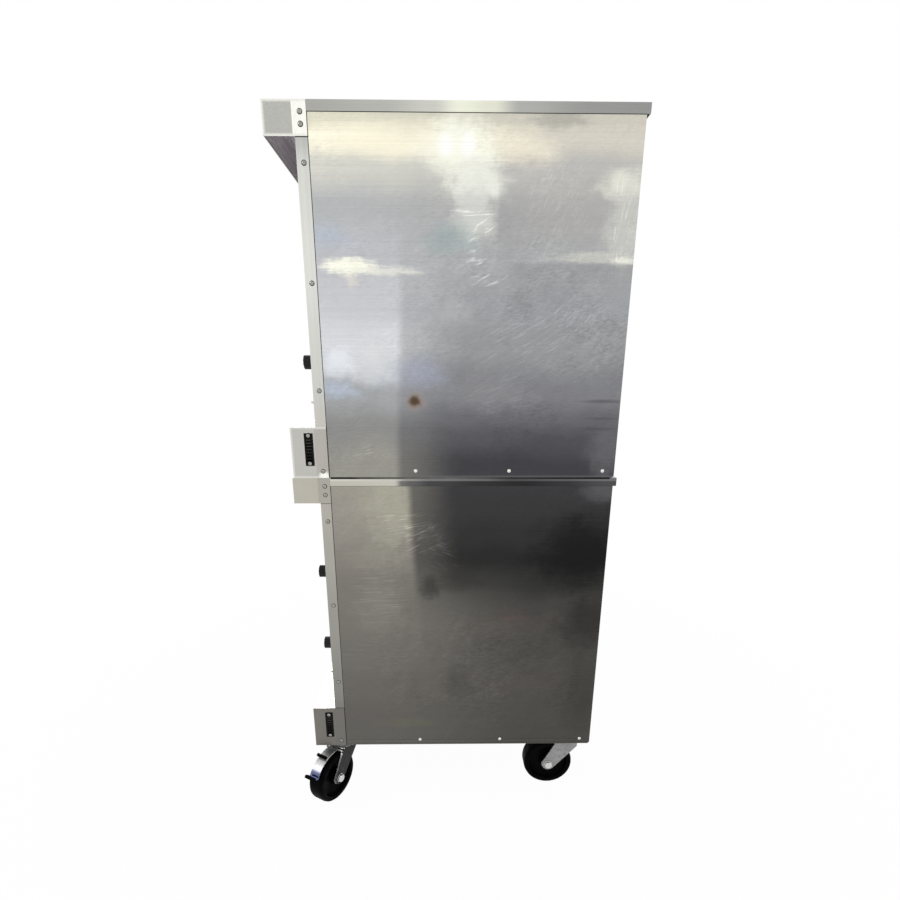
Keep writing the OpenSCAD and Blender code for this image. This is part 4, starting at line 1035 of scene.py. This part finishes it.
def mirrored(made):
    """A copy on the other side of the oven's middle plane."""
    other = copy_of(made)
    start_edit(other)
    bpy.ops.transform.resize(value=(-1, 1, 1), center_override=(0, 0, 0))
    return end_edit(other, weld=True)


def dress(made, finish, body="root"):
    made.data.materials.clear()
    made.data.materials.append(FINISH[finish])
    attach(made, body)
    return made


def dress_both_sides(name, parts, finish):
    """A piece made of parts on the oven's right side, and its twin on the left."""
    right = joined(f"{name}_right", parts)
    left = mirrored(right)
    left.name = f"{name}_left"
    dress(right, finish)
    dress(left, finish)


def round_piece(name, rings, spots, finish, body="root", sides=48):
    """One piece of round parts that share a shape; spots are each part's (place, axis)."""
    return dress(joined(name, copies_at(turned("round part", rings, sides), spots)), finish, body)


def axis_of(joint):
    return Vector(JOINTS[joint]["axis"]).normalized()


def place_of(joint):
    return Vector(JOINTS[joint]["pos_m"])


def solid_boxes(node):
    """Lowest and highest corner of each separate solid of a node, found by following its shared corners."""
    grid = 0.01 * MM
    mesh = frame["nodes"][node].data
    leader = {}

    def first(key):
        while leader[key] != key:
            leader[key] = leader[leader[key]]
            key = leader[key]
        return key

    for face in mesh.polygons:
        keys = [tuple(round(v / grid) for v in mesh.vertices[i].co) for i in face.vertices]
        for key in keys:
            leader.setdefault(key, key)
        for key in keys[1:]:
            leader[first(key)] = first(keys[0])
    groups = {}
    for key in leader:
        groups.setdefault(first(key), []).append(key)
    return [tuple(Vector([end(values) for values in zip(*keys)]) * grid for end in (min, max))
            for keys in groups.values()]


# Screws: domed heads with a cross recess, where the solids have theirs
HEAD_HEIGHT = 2.6 * MM


def screw_head():
    """A pan head 9 mm across, with a cross recess cut into its dome."""
    dome = [(4.5, 0), (4.6, 0.2), (4.6, 1.0), (4.25, 1.55), (3.5, 2.0), (2.5, 2.4), (1.3, 2.58), (0.4, 2.62)]
    head = turned("screw head", dome, sides=32)
    arm = slab_about("arm", (0, 0, 0), (-2.6, -0.55, 1.1), (2.6, 0.55, 3.5), edge=0.1, segments=1)
    for each in (arm, stand(copy_of(arm), (0, 0, 0), spin=math.pi / 2)):
        cut = head.modifiers.new("cut", "BOOLEAN")
        cut.operation = "DIFFERENCE"
        cut.object = each
        apply_modifier(head, cut)
        discard(each)
    return head


def all_screws():
    """Heads on every screw, and a dark ring of painted shade under those of the front frame's strips and laps.
    """
    spots = []
    for low, high in solid_boxes("screws"):
        size = high - low
        middle = (low + high) / 2
        thin = min(range(3), key=lambda axis: size[axis])
        sign = -1 if thin < 2 and middle[thin] < 0 else 1
        outward = Vector([sign if axis == thin else 0 for axis in range(3)])
        spots.append((middle + outward * (size[thin] / 2 - HEAD_HEIGHT), outward))
    # Painted shade: a dark washer-shaped ring round each screw of the front frame's strips and laps
    in_frame = [(place, outward) for place, outward in spots if outward.x and place.y < PANEL_FRONT]
    washer = [(4.4, 0), (6.0, 0), (6.0, 0.25), (5.6, 0.4), (4.4, 0.4), (4.4, 0)]
    round_piece("screw_shadow_rings", washer, in_frame, "shadow seam", sides=32)
    heads = copies_at(screw_head(), spots, spin=0.7)
    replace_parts(dress(joined("cross_head_screws", heads), "screw steel"), "screws")


# Seams of the cabinet: dark strips of painted shade in the seams, behind the laps and in the joint between the
# decks, and hems on the hoods
def side_strip(front, back, foot, top, proud, edge, segments=2, sunk=0.5):
    """A strip on the right side, standing proud of its panels and sunk into them by so many mm."""
    return slab("strip", (SIDE_X - sunk * MM, front, foot), (SIDE_X + proud * MM, back, top), edge, segments)


def cabinet_seams():
    for deck, low in (("lower", lower_low), ("upper", upper_low)):
        cap_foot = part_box(f"{deck}_top_panel")[0].z
        hood_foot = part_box(f"{deck}_top_hood")[0].z
        # Painted shade: dark strips along the seam behind the front frame's strip and under the top panel's fold
        dress_both_sides(f"{deck}_seams", [
            side_strip(PANEL_FRONT - 1.5 * MM, PANEL_FRONT + 0.2 * MM, low.z + 1 * MM, hood_foot, 0.35, 0.15),
            side_strip(PANEL_FRONT, PANEL_BACK - 1 * MM, cap_foot - 0.9 * MM, cap_foot + 0.3 * MM, 0.6, 0.15),
        ], "shadow seam")
    joint_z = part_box("lower_top_panel")[1].z
    # Painted shade: a dark strip in the joint between the decks
    gasket = side_strip(PANEL_FRONT + 1 * MM, PANEL_BACK - 10 * MM, joint_z - 3.4 * MM, joint_z + 1.4 * MM,
                        1.6, 0.5, segments=3, sunk=1)
    dress_both_sides("deck_joint_shade", [gasket], "deck joint shade")


def lap_seams():
    """Dark strips of painted shade behind the laps of the hoods and covers, and under the hoods' laps."""
    proud, edge = 1.1, 0.2
    width = 1.3 * MM
    tuck = 0.1 * MM
    for deck in DECKS:
        cap_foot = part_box(f"{deck}_top_panel")[0].z
        parts = []
        for node in (f"{deck}_top_hood", f"{deck}_bottom_cover"):
            low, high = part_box(node)
            back = high.y + width
            parts.append(side_strip(high.y - tuck, back, low.z, min(high.z, cap_foot), proud, edge))
            if node.endswith("hood"):
                parts.append(side_strip(FRAME_FACE, back, low.z - width, low.z + tuck, proud, edge))
        dress_both_sides(f"{deck}_lap_seams", parts, "shadow seam")


def hood_hems():
    radius = 1.3
    for deck in DECKS:
        low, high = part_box(f"{deck}_top_hood")
        length = (high.x - low.x) / MM
        rings = [(0.7, 0), (radius, 0.6), (radius, length - 0.6), (0.7, length)]
        place = (low.x, low.y + radius * MM, low.z + 1.0 * MM)
        round_piece(f"{deck}_hood_hem", rings, [(place, (1, 0, 0))], "stainless", sides=20)


# Vents in the lower covers' ends
def vent_wires():
    """Wires behind the fins, and a black washer under each of the vent's screws."""
    wire_count = 7
    wire_inset = 17 * MM
    screw_inset = 6 * MM
    washer = [(4.7, 0), (6.6, 0), (6.6, 0.5), (6.1, 0.8), (4.7, 0.8), (4.7, 0)]
    for number, (low, high) in enumerate(solid_boxes("side_vents"), 1):
        side = 1 if high.x > 0 else -1
        face_x = high.x if side > 0 else low.x
        middle_y = (low.y + high.y) / 2
        reach = (high.y - low.y) / 2 / MM - 4.5
        step = (high.z - low.z - 2 * wire_inset) / (wire_count - 1)
        wires = []
        for k in range(wire_count):
            base = (face_x - side * 1.0 * MM, middle_y, low.z + wire_inset + k * step)
            wires.append(slab_about("wire", base, (-0.5, -reach, -0.6), (0.5, reach, 0.6), edge=0.3))
        dress(joined(f"vent_wires_{number}", wires), "vent wire")
        ends = [((face_x, middle_y, z), (side, 0, 0)) for z in (low.z + screw_inset, high.z - screw_inset)]
        round_piece(f"vent_washers_{number}", washer, ends, "vent black", sides=32)


# Doors
def door_frames(deck, side):
    """A gasket round a door's window, and a thin trim on the door's inner face."""
    body = f"{deck}_door_{side}"
    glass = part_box(f"{deck}_door_glass_{side}")
    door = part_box(body)
    gasket_y = glass[0].y + 0.2 * MM
    trim_y = door[1].y + 0.1 * MM
    gasket = flat_frame(f"{body}_window_gasket", glass, gasket_y, (-0.3, -0.3), width=7, depth=2.0, edge=0.7)
    trim = flat_frame(f"{body}_inner_trim", door, trim_y, (5, 12), width=9, depth=0.8, edge=0.3)
    dress(gasket, "gasket", body)
    dress(trim, "stainless", body)


def handle_details(deck):
    """Collars, end caps and foot rings of a handle."""
    collar = [(11.0, -9), (12.3, -8.2), (12.3, 8.2), (11.0, 9), (11.0, -9)]
    cap = [(11.15, -10), (11.9, -9.4), (11.9, 1.5), (11.2, 5.0), (9.4, 8.0), (6.5, 10.2), (3.0, 11.2),
           (0.6, 11.4)]
    foot = [(14.2, 0), (14.2, 1.0), (13.0, 3.4), (7.4, 4.2), (7.0, 6.5), (7.0, 3.0), (13.0, 1.0), (14.2, 0)]
    body = f"{deck}_door_right"
    low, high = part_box(f"{deck}_door_handle")
    grip_radius = 11 * MM
    post_inset = 32 * MM
    grip = Vector(((low.x + high.x) / 2, low.y + grip_radius, (low.z + high.z) / 2))
    half = (high.z - low.z) / 2 - grip_radius
    posts = [Vector((0, 0, way * (half - post_inset))) for way in (-1, 1)]
    on_grip = [(grip + post, UPWARD) for post in posts]
    on_door = [(Vector((grip.x, high.y, grip.z)) + post, FRONTWARD) for post in posts]
    ends = [(grip + Vector((0, 0, way * half)), (0, 0, way)) for way in (1, -1)]
    round_piece(f"{deck}_handle_collars", collar, on_grip, "bright plate", body)
    round_piece(f"{deck}_handle_caps", cap, ends, "black plastic", body)
    round_piece(f"{deck}_handle_feet", foot, on_door, "bright plate", body)


def door_details():
    for deck in DECKS:
        for side in SIDES:
            door_frames(deck, side)
        handle_details(deck)


# Controls
def words(text, size, place):
    """Raised lettering that faces forward, 0.15 mm proud, with letters so many mm high."""
    bpy.ops.object.text_add()
    made = bpy.context.object
    made.data.body = text
    made.data.size = size * MM
    made.data.extrude = 0.15 * MM
    made.data.align_x = "CENTER"
    made.data.align_y = "CENTER"
    select_only(made)
    bpy.ops.object.convert(target="MESH")
    made = bpy.context.object
    made.rotation_euler = (math.pi / 2, 0, 0)
    made.location = place
    return apply_place(made)


def dial(name, centre, labels):
    """Ticks and numbers round a knob over 270 degrees, with a shorter tick between each two numbers."""
    sweep = math.radians(270)
    tick_radius = 32.6
    label_radius = 42.5 * MM
    gaps = len(labels) - 1
    parts = []
    for k in range(2 * gaps + 1):
        tip = tick_radius + (2.2 if k % 2 else 3.6)
        tick = slab_about("tick", (0, 0, 0), (-0.35, -0.12, tick_radius), (0.35, 0.12, tip), 0.1, segments=1)
        tick.rotation_euler = (0, sweep * (k / (2 * gaps) - 0.5), 0)
        tick.location = centre
        parts.append(apply_place(tick))
    for k, label in enumerate(labels):
        turn = sweep * (k / gaps - 0.5)
        spot = centre + Vector((math.sin(turn), 0, math.cos(turn))) * label_radius
        parts.append(words(label, 6.2, spot))
    return dress(joined(name, parts), "black plastic")


def pointers(node, centre):
    """White lines let into a knob's grip and laid on its skirt."""
    skirt_height = 6.3 * MM
    grip = (centre.x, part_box(node)[0].y, centre.z)
    skirt = (centre.x, centre.y - skirt_height, centre.z)
    lines = [slab_about("line", grip, (-0.9, 0.2, 6.8), (0.9, 1.3, 17.2), edge=0.2),
             slab_about("line", skirt, (-0.8, -0.25, 19.5), (0.8, 0.3, 28.5), edge=0.2)]
    dress(joined(f"{node}_pointer", lines), "white paint", node)


def controls():
    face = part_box("control_panels")[0].y
    heat = [str(value) for value in range(150, 501, 50)]
    minutes = [str(value) for value in range(0, 61, 10)]
    nut = [(10.6, 0), (10.6, 2.6), (9.8, 3.3), (6.3, 3.3), (6.3, 0), (10.6, 0)]
    bezel = [(12.6, 0), (12.6, 1.2), (11.0, 3.0), (8.9, 3.3), (8.35, 2.6), (8.35, 2.2), (12.0, 0), (12.6, 0)]
    for deck, heat_node in (("upper", "upper_thermostat_spindle"), ("lower", "lower_thermostat_knob")):
        for node, labels in ((heat_node, heat), (f"{deck}_timer_knob", minutes)):
            low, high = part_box(node)
            centre = Vector(((low.x + high.x) / 2, face, (low.z + high.z) / 2))
            dial(f"{node}_dial", centre, labels)
            if node.endswith("knob"):
                pointers(node, centre)
        switch = place_of(f"{deck}_power_switch_tip")
        switch.y = face
        round_piece(f"{deck}_switch_nut", nut, [(switch, FRONTWARD)], "bright plate", sides=6)
        above = Vector(UPWARD) * 21 * MM
        marks = [words("ON", 6.4, switch + above), words("OFF", 6.4, switch - above)]
        dress(joined(f"{deck}_switch_marks", marks), "black plastic")
    lamps = [(low + high) / 2 for low, high in solid_boxes("indicator_lamps")]
    round_piece("lamp_bezels", bezel, [((lamp.x, face, lamp.z), FRONTWARD) for lamp in lamps], "bright plate")


# Casters
def caster_details():
    leg_face = 32.5 * MM
    race_foot = 163.3
    shield = [(8.5, 27.1), (21.0, 27.1), (20.6, 27.35), (9.0, 27.35), (8.5, 27.1)]
    bead = [(64.2, 24.6), (65.0, 25.7), (66.6, 25.9), (67.6, 24.6), (64.2, 24.6)]
    cap = [(12.6, 0), (12.6, 1.0), (11.5, 1.6), (11.5, 6.2), (10.4, 8.0), (7.4, 9.4), (3.6, 10.1), (0.6, 10.2)]
    dust_ring = [(radius, race_foot + rise) for radius, rise in (
        (38.1, -1.6), (39.7, -1.2), (39.7, 2.8), (38.1, 3.4), (38.1, -1.6))]
    for caster in [f"{end}_{side}" for end in ("front", "rear") for side in ("right", "left")]:
        wheel = f"caster_wheel_{caster}"
        fork = f"caster_fork_{caster}"
        hub = place_of(f"{wheel}_spin")
        axle = axis_of(f"{wheel}_spin")
        faces = [(hub, way) for way in (axle, -axle)]
        ends = [(hub + way * leg_face, way) for way in (axle, -axle)]
        swivel = place_of(f"{fork}_swivel")
        round_piece(f"{wheel}_bearing_shields", shield, faces, "cast zinc", wheel, sides=40)
        round_piece(f"{wheel}_sidewall_beads", bead, faces, "wheel rubber", wheel, sides=96)
        round_piece(f"caster_{caster}_axle_caps", cap, ends, "bright plate", fork)
        spot = ((swivel.x, swivel.y, 0), UPWARD)
        round_piece(f"caster_dust_ring_{caster}", dust_ring, [spot], "cast zinc", sides=64)


def sleeve(start, end):
    """A ribbed rubber sleeve on a plate that stands up along Z, from start to end in mm."""
    rib_count = 4
    parts = [slab_about("sleeve", (0, 0, 0), (-17, -3.4, start), (17, 3.4, end), edge=1.2, segments=3)]
    for k in range(rib_count):
        z = start + (k + 0.7) * (end - start) / (rib_count + 0.4)
        parts.append(slab_about("rib", (0, 0, 0), (-17.5, -4.0, z - 0.7), (17.5, 4.0, z + 0.7), edge=0.5))
    return joined("sleeve", parts)


def pedal_sleeves():
    """Sleeves on the brake pedals' step and on their release tab; each leans so many degrees from forward."""
    for side in ("right", "left"):
        wheel = f"caster_wheel_front_{side}_spin"
        hub = place_of(wheel)
        axle = axis_of(wheel)
        swivel = place_of(f"caster_fork_front_{side}_swivel")
        forward = Vector((hub.x - swivel.x, hub.y - swivel.y, 0)).normalized()
        sleeves = []
        for lean, start, end in ((150, 97.0, 109.2), (112, 92.0, 101.2)):
            outward = Vector(UPWARD) * math.sin(math.radians(lean)) - forward * math.cos(math.radians(lean))
            made = sleeve(start, end)
            made.matrix_world = Matrix((axle, outward.cross(axle), outward)).transposed().to_4x4()
            made.location = hub
            sleeves.append(apply_place(made))
        dress(joined(f"brake_pedal_{side}_sleeves", sleeves), "wheel rubber", f"brake_pedal_{side}")


# Back
def louvre(length):
    """A pressed hood over a cooling slot: its foot is open, and its back lies in the plane y = 0."""
    depth = 4.2 * MM
    height = 9.0 * MM
    bpy.ops.mesh.primitive_cube_add(size=1, location=(0, depth / 2, height / 2))
    made = just_added("louvre", (length, depth, height))
    start_edit(made)
    pick_faces(made, lambda normal: normal.z > 0.9)
    bpy.ops.transform.resize(value=(0.95, 0.2, 1), center_override=(0, 0, 0))
    pick_faces(made, lambda normal: normal.z < -0.9)
    bpy.ops.mesh.inset(thickness=0.8 * MM)
    extrude(0, -0.6 * MM, 5.0 * MM)
    bpy.ops.transform.resize(value=(0.97, 0.4, 1), center_override=(0, 0.6 * MM, 0))
    end_edit(made)
    rounding = made.modifiers.new("rounded", "BEVEL")
    rounding.width = 0.35 * MM
    rounding.segments = 2
    rounding.limit_method = "ANGLE"
    apply_modifier(made, rounding)
    return made


def access_plate(name, low, high):
    """A cover plate on the back, with a raised middle."""
    made = slab(name, low, high, edge=0.5)
    start_edit(made)
    pick_faces(made, lambda normal: normal.y > 0.99)
    bpy.ops.mesh.inset(thickness=17 * MM)
    extrude(0, 2.4 * MM, 0)
    bpy.ops.transform.resize(value=(0.965, 1, 0.965), center_override=(Vector(low) + Vector(high)) / 2)
    return end_edit(made)


def back_details():
    """Louvres over the cooling slots, a screwed cover over each motor, and the plugs in the cable holes."""
    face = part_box("back_panels")[1].y
    slot_reach = 200 * MM
    slot_pitch = 22 * MM
    slot_half = 2.5 * MM
    louvre_length = 66 * MM
    cover_half = 130 * MM
    cover_face = face + 1.2 * MM
    screw_reach = cover_half - 8 * MM
    hole_x = -347.4 * MM
    hole_rise = 92 * MM
    plug = [(21.0, 0), (21.0, 1.0), (19.8, 2.2), (16.4, 3.0), (13.6, 2.4), (12.6, 1.2), (11.6, 1.2),
            (10.8, 2.6), (6.0, 3.4), (0.6, 3.6)]
    for deck, foot in (("upper", upper_low.z), ("lower", lower_low.z)):
        wheel_low, wheel_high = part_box(f"{deck}_blower_wheel")
        x = (wheel_low.x + wheel_high.x) / 2
        z = (wheel_low.z + wheel_high.z) / 2
        slots = [((x + side * slot_reach, face, z + row * slot_pitch - slot_half), UPWARD)
                 for side in (-1, 1) for row in range(-4, 5)]
        dress(joined(f"{deck}_back_louvres", copies_at(louvre(louvre_length), slots)), "galvanised")
        cover = access_plate(f"{deck}_motor_cover", (x - cover_half, face - 0.3 * MM, z - cover_half),
                             (x + cover_half, cover_face, z + cover_half))
        dress(cover, "stainless")
        rim = [((x + i * screw_reach, cover_face, z + j * screw_reach), REARWARD)
               for i in (-1, 0, 1) for j in (-1, 0, 1) if i or j]
        heads = copies_at(screw_head(), rim, spin=0.9)
        dress(joined(f"{deck}_motor_cover_screws", heads), "screw steel")
        spot = ((hole_x, face, foot + hole_rise), REARWARD)
        round_piece(f"{deck}_cable_hole_plug", plug, [spot], "black plastic")


all_screws()
cabinet_seams()
lap_seams()
hood_hems()
back_details()
vent_wires()
door_details()
controls()
caster_details()
pedal_sleeves()


# Studio: a pale floor, a white surround and soft lights
WHITE = (1, 1, 1, 1)


def seen_rays(tree):
    """1 for what is seen at once, mirrored or through glass, and 0 for the light that falls on things."""
    camera, glossy, through = [add_node(tree, "ShaderNodeLightPath", output=f"Is {kind} Ray")
                               for kind in ("Camera", "Glossy", "Transmission")]
    sockets = {0: camera + glossy, 1: through}
    return add_node(tree, "ShaderNodeMath", sockets, operation="ADD", use_clamp=True)


def studio_floor():
    bpy.ops.mesh.primitive_plane_add(size=24.0, location=(0, 0, 0))
    floor = just_added("floor")
    material = bpy.data.materials.new("studio floor")
    material.use_nodes = True
    tree = material.node_tree
    tree.nodes.clear()
    place = object_place(tree)
    paper = mixed(noise(place, 3.0, detail=2.0), (0.9, 0.9, 0.9, 1), (0.94, 0.94, 0.94, 1))
    matt = add_node(tree, "ShaderNodeBsdfDiffuse", {"Color": paper})
    glow = add_node(tree, "ShaderNodeEmission", {"Color": WHITE, "Strength": 1.0})
    glowing = seen_rays(tree) * place.vector("LENGTH", output="Value").remap(0.7, 2.4, 0.97, 1.0)
    both = add_node(tree, "ShaderNodeMixShader", {0: glowing, 1: matt, 2: glow})
    add_node(tree, "ShaderNodeOutputMaterial", {"Surface": both})
    floor.data.materials.append(material)


def studio_world():
    world = bpy.data.worlds.new("studio")
    bpy.context.scene.world = world
    world.use_nodes = True
    surround = world.node_tree.nodes["Background"].inputs
    put(WHITE, surround["Color"])
    put(seen_rays(world.node_tree).remap(0.0, 1.0, 0.62, 1.0, "LINEAR"), surround["Strength"])


def soft_light(name, place, size, power):
    """A rectangular light aimed at the oven's middle."""
    target = Vector((0, 0, 0.9))
    bpy.ops.object.light_add(type="AREA", location=place)
    lamp = bpy.context.object
    lamp.name = name
    lamp.data.shape = "RECTANGLE"
    lamp.data.size, lamp.data.size_y = size
    lamp.data.energy = power
    lamp.rotation_mode = "QUATERNION"
    lamp.rotation_quaternion = (target - Vector(place)).to_track_quat("-Z", "Y")


def photo_camera():
    """The photograph's camera: beside the oven, tipped down, with the picture moved up by a tenth."""
    from_panel = Vector((1.3378, 0.2919, 1.2354))
    yaw, pitch, roll = math.radians(-0.76), math.radians(16.65), math.radians(0.13)
    focal_pixels = 521.7
    forward = Vector((-math.cos(pitch) * math.cos(yaw), -math.cos(pitch) * math.sin(yaw), -math.sin(pitch)))
    right = forward.cross(Vector((0, 0, 1))).normalized()
    up = right.cross(forward)
    tipped_right = right * math.cos(roll) + up * math.sin(roll)
    tipped_up = up * math.cos(roll) - right * math.sin(roll)
    bpy.ops.object.camera_add(location=(SIDE_X + from_panel.x, PANEL_FRONT + from_panel.y, from_panel.z))
    camera = bpy.context.object
    camera.name = "photo camera"
    camera.rotation_mode = "QUATERNION"
    camera.rotation_quaternion = Matrix((tipped_right, tipped_up, -forward)).transposed().to_quaternion()
    camera.data.sensor_width = 36.0
    camera.data.lens = focal_pixels * camera.data.sensor_width / IMAGE_SIDE
    camera.data.shift_y = 0.1
    bpy.context.scene.camera = camera


bpy.ops.object.select_all(action="DESELECT")
studio_floor()
studio_world()
soft_light("key light", (2.4, -4.4, 3.8), (2.4, 2.0), 60)
soft_light("fill light", (-3.8, -2.4, 3.0), (2.4, 2.0), 45)
soft_light("back light", (0.8, 4.6, 3.6), (3.0, 1.6), 45)
photo_camera()
bpy.context.scene.view_settings.view_transform = "Standard"
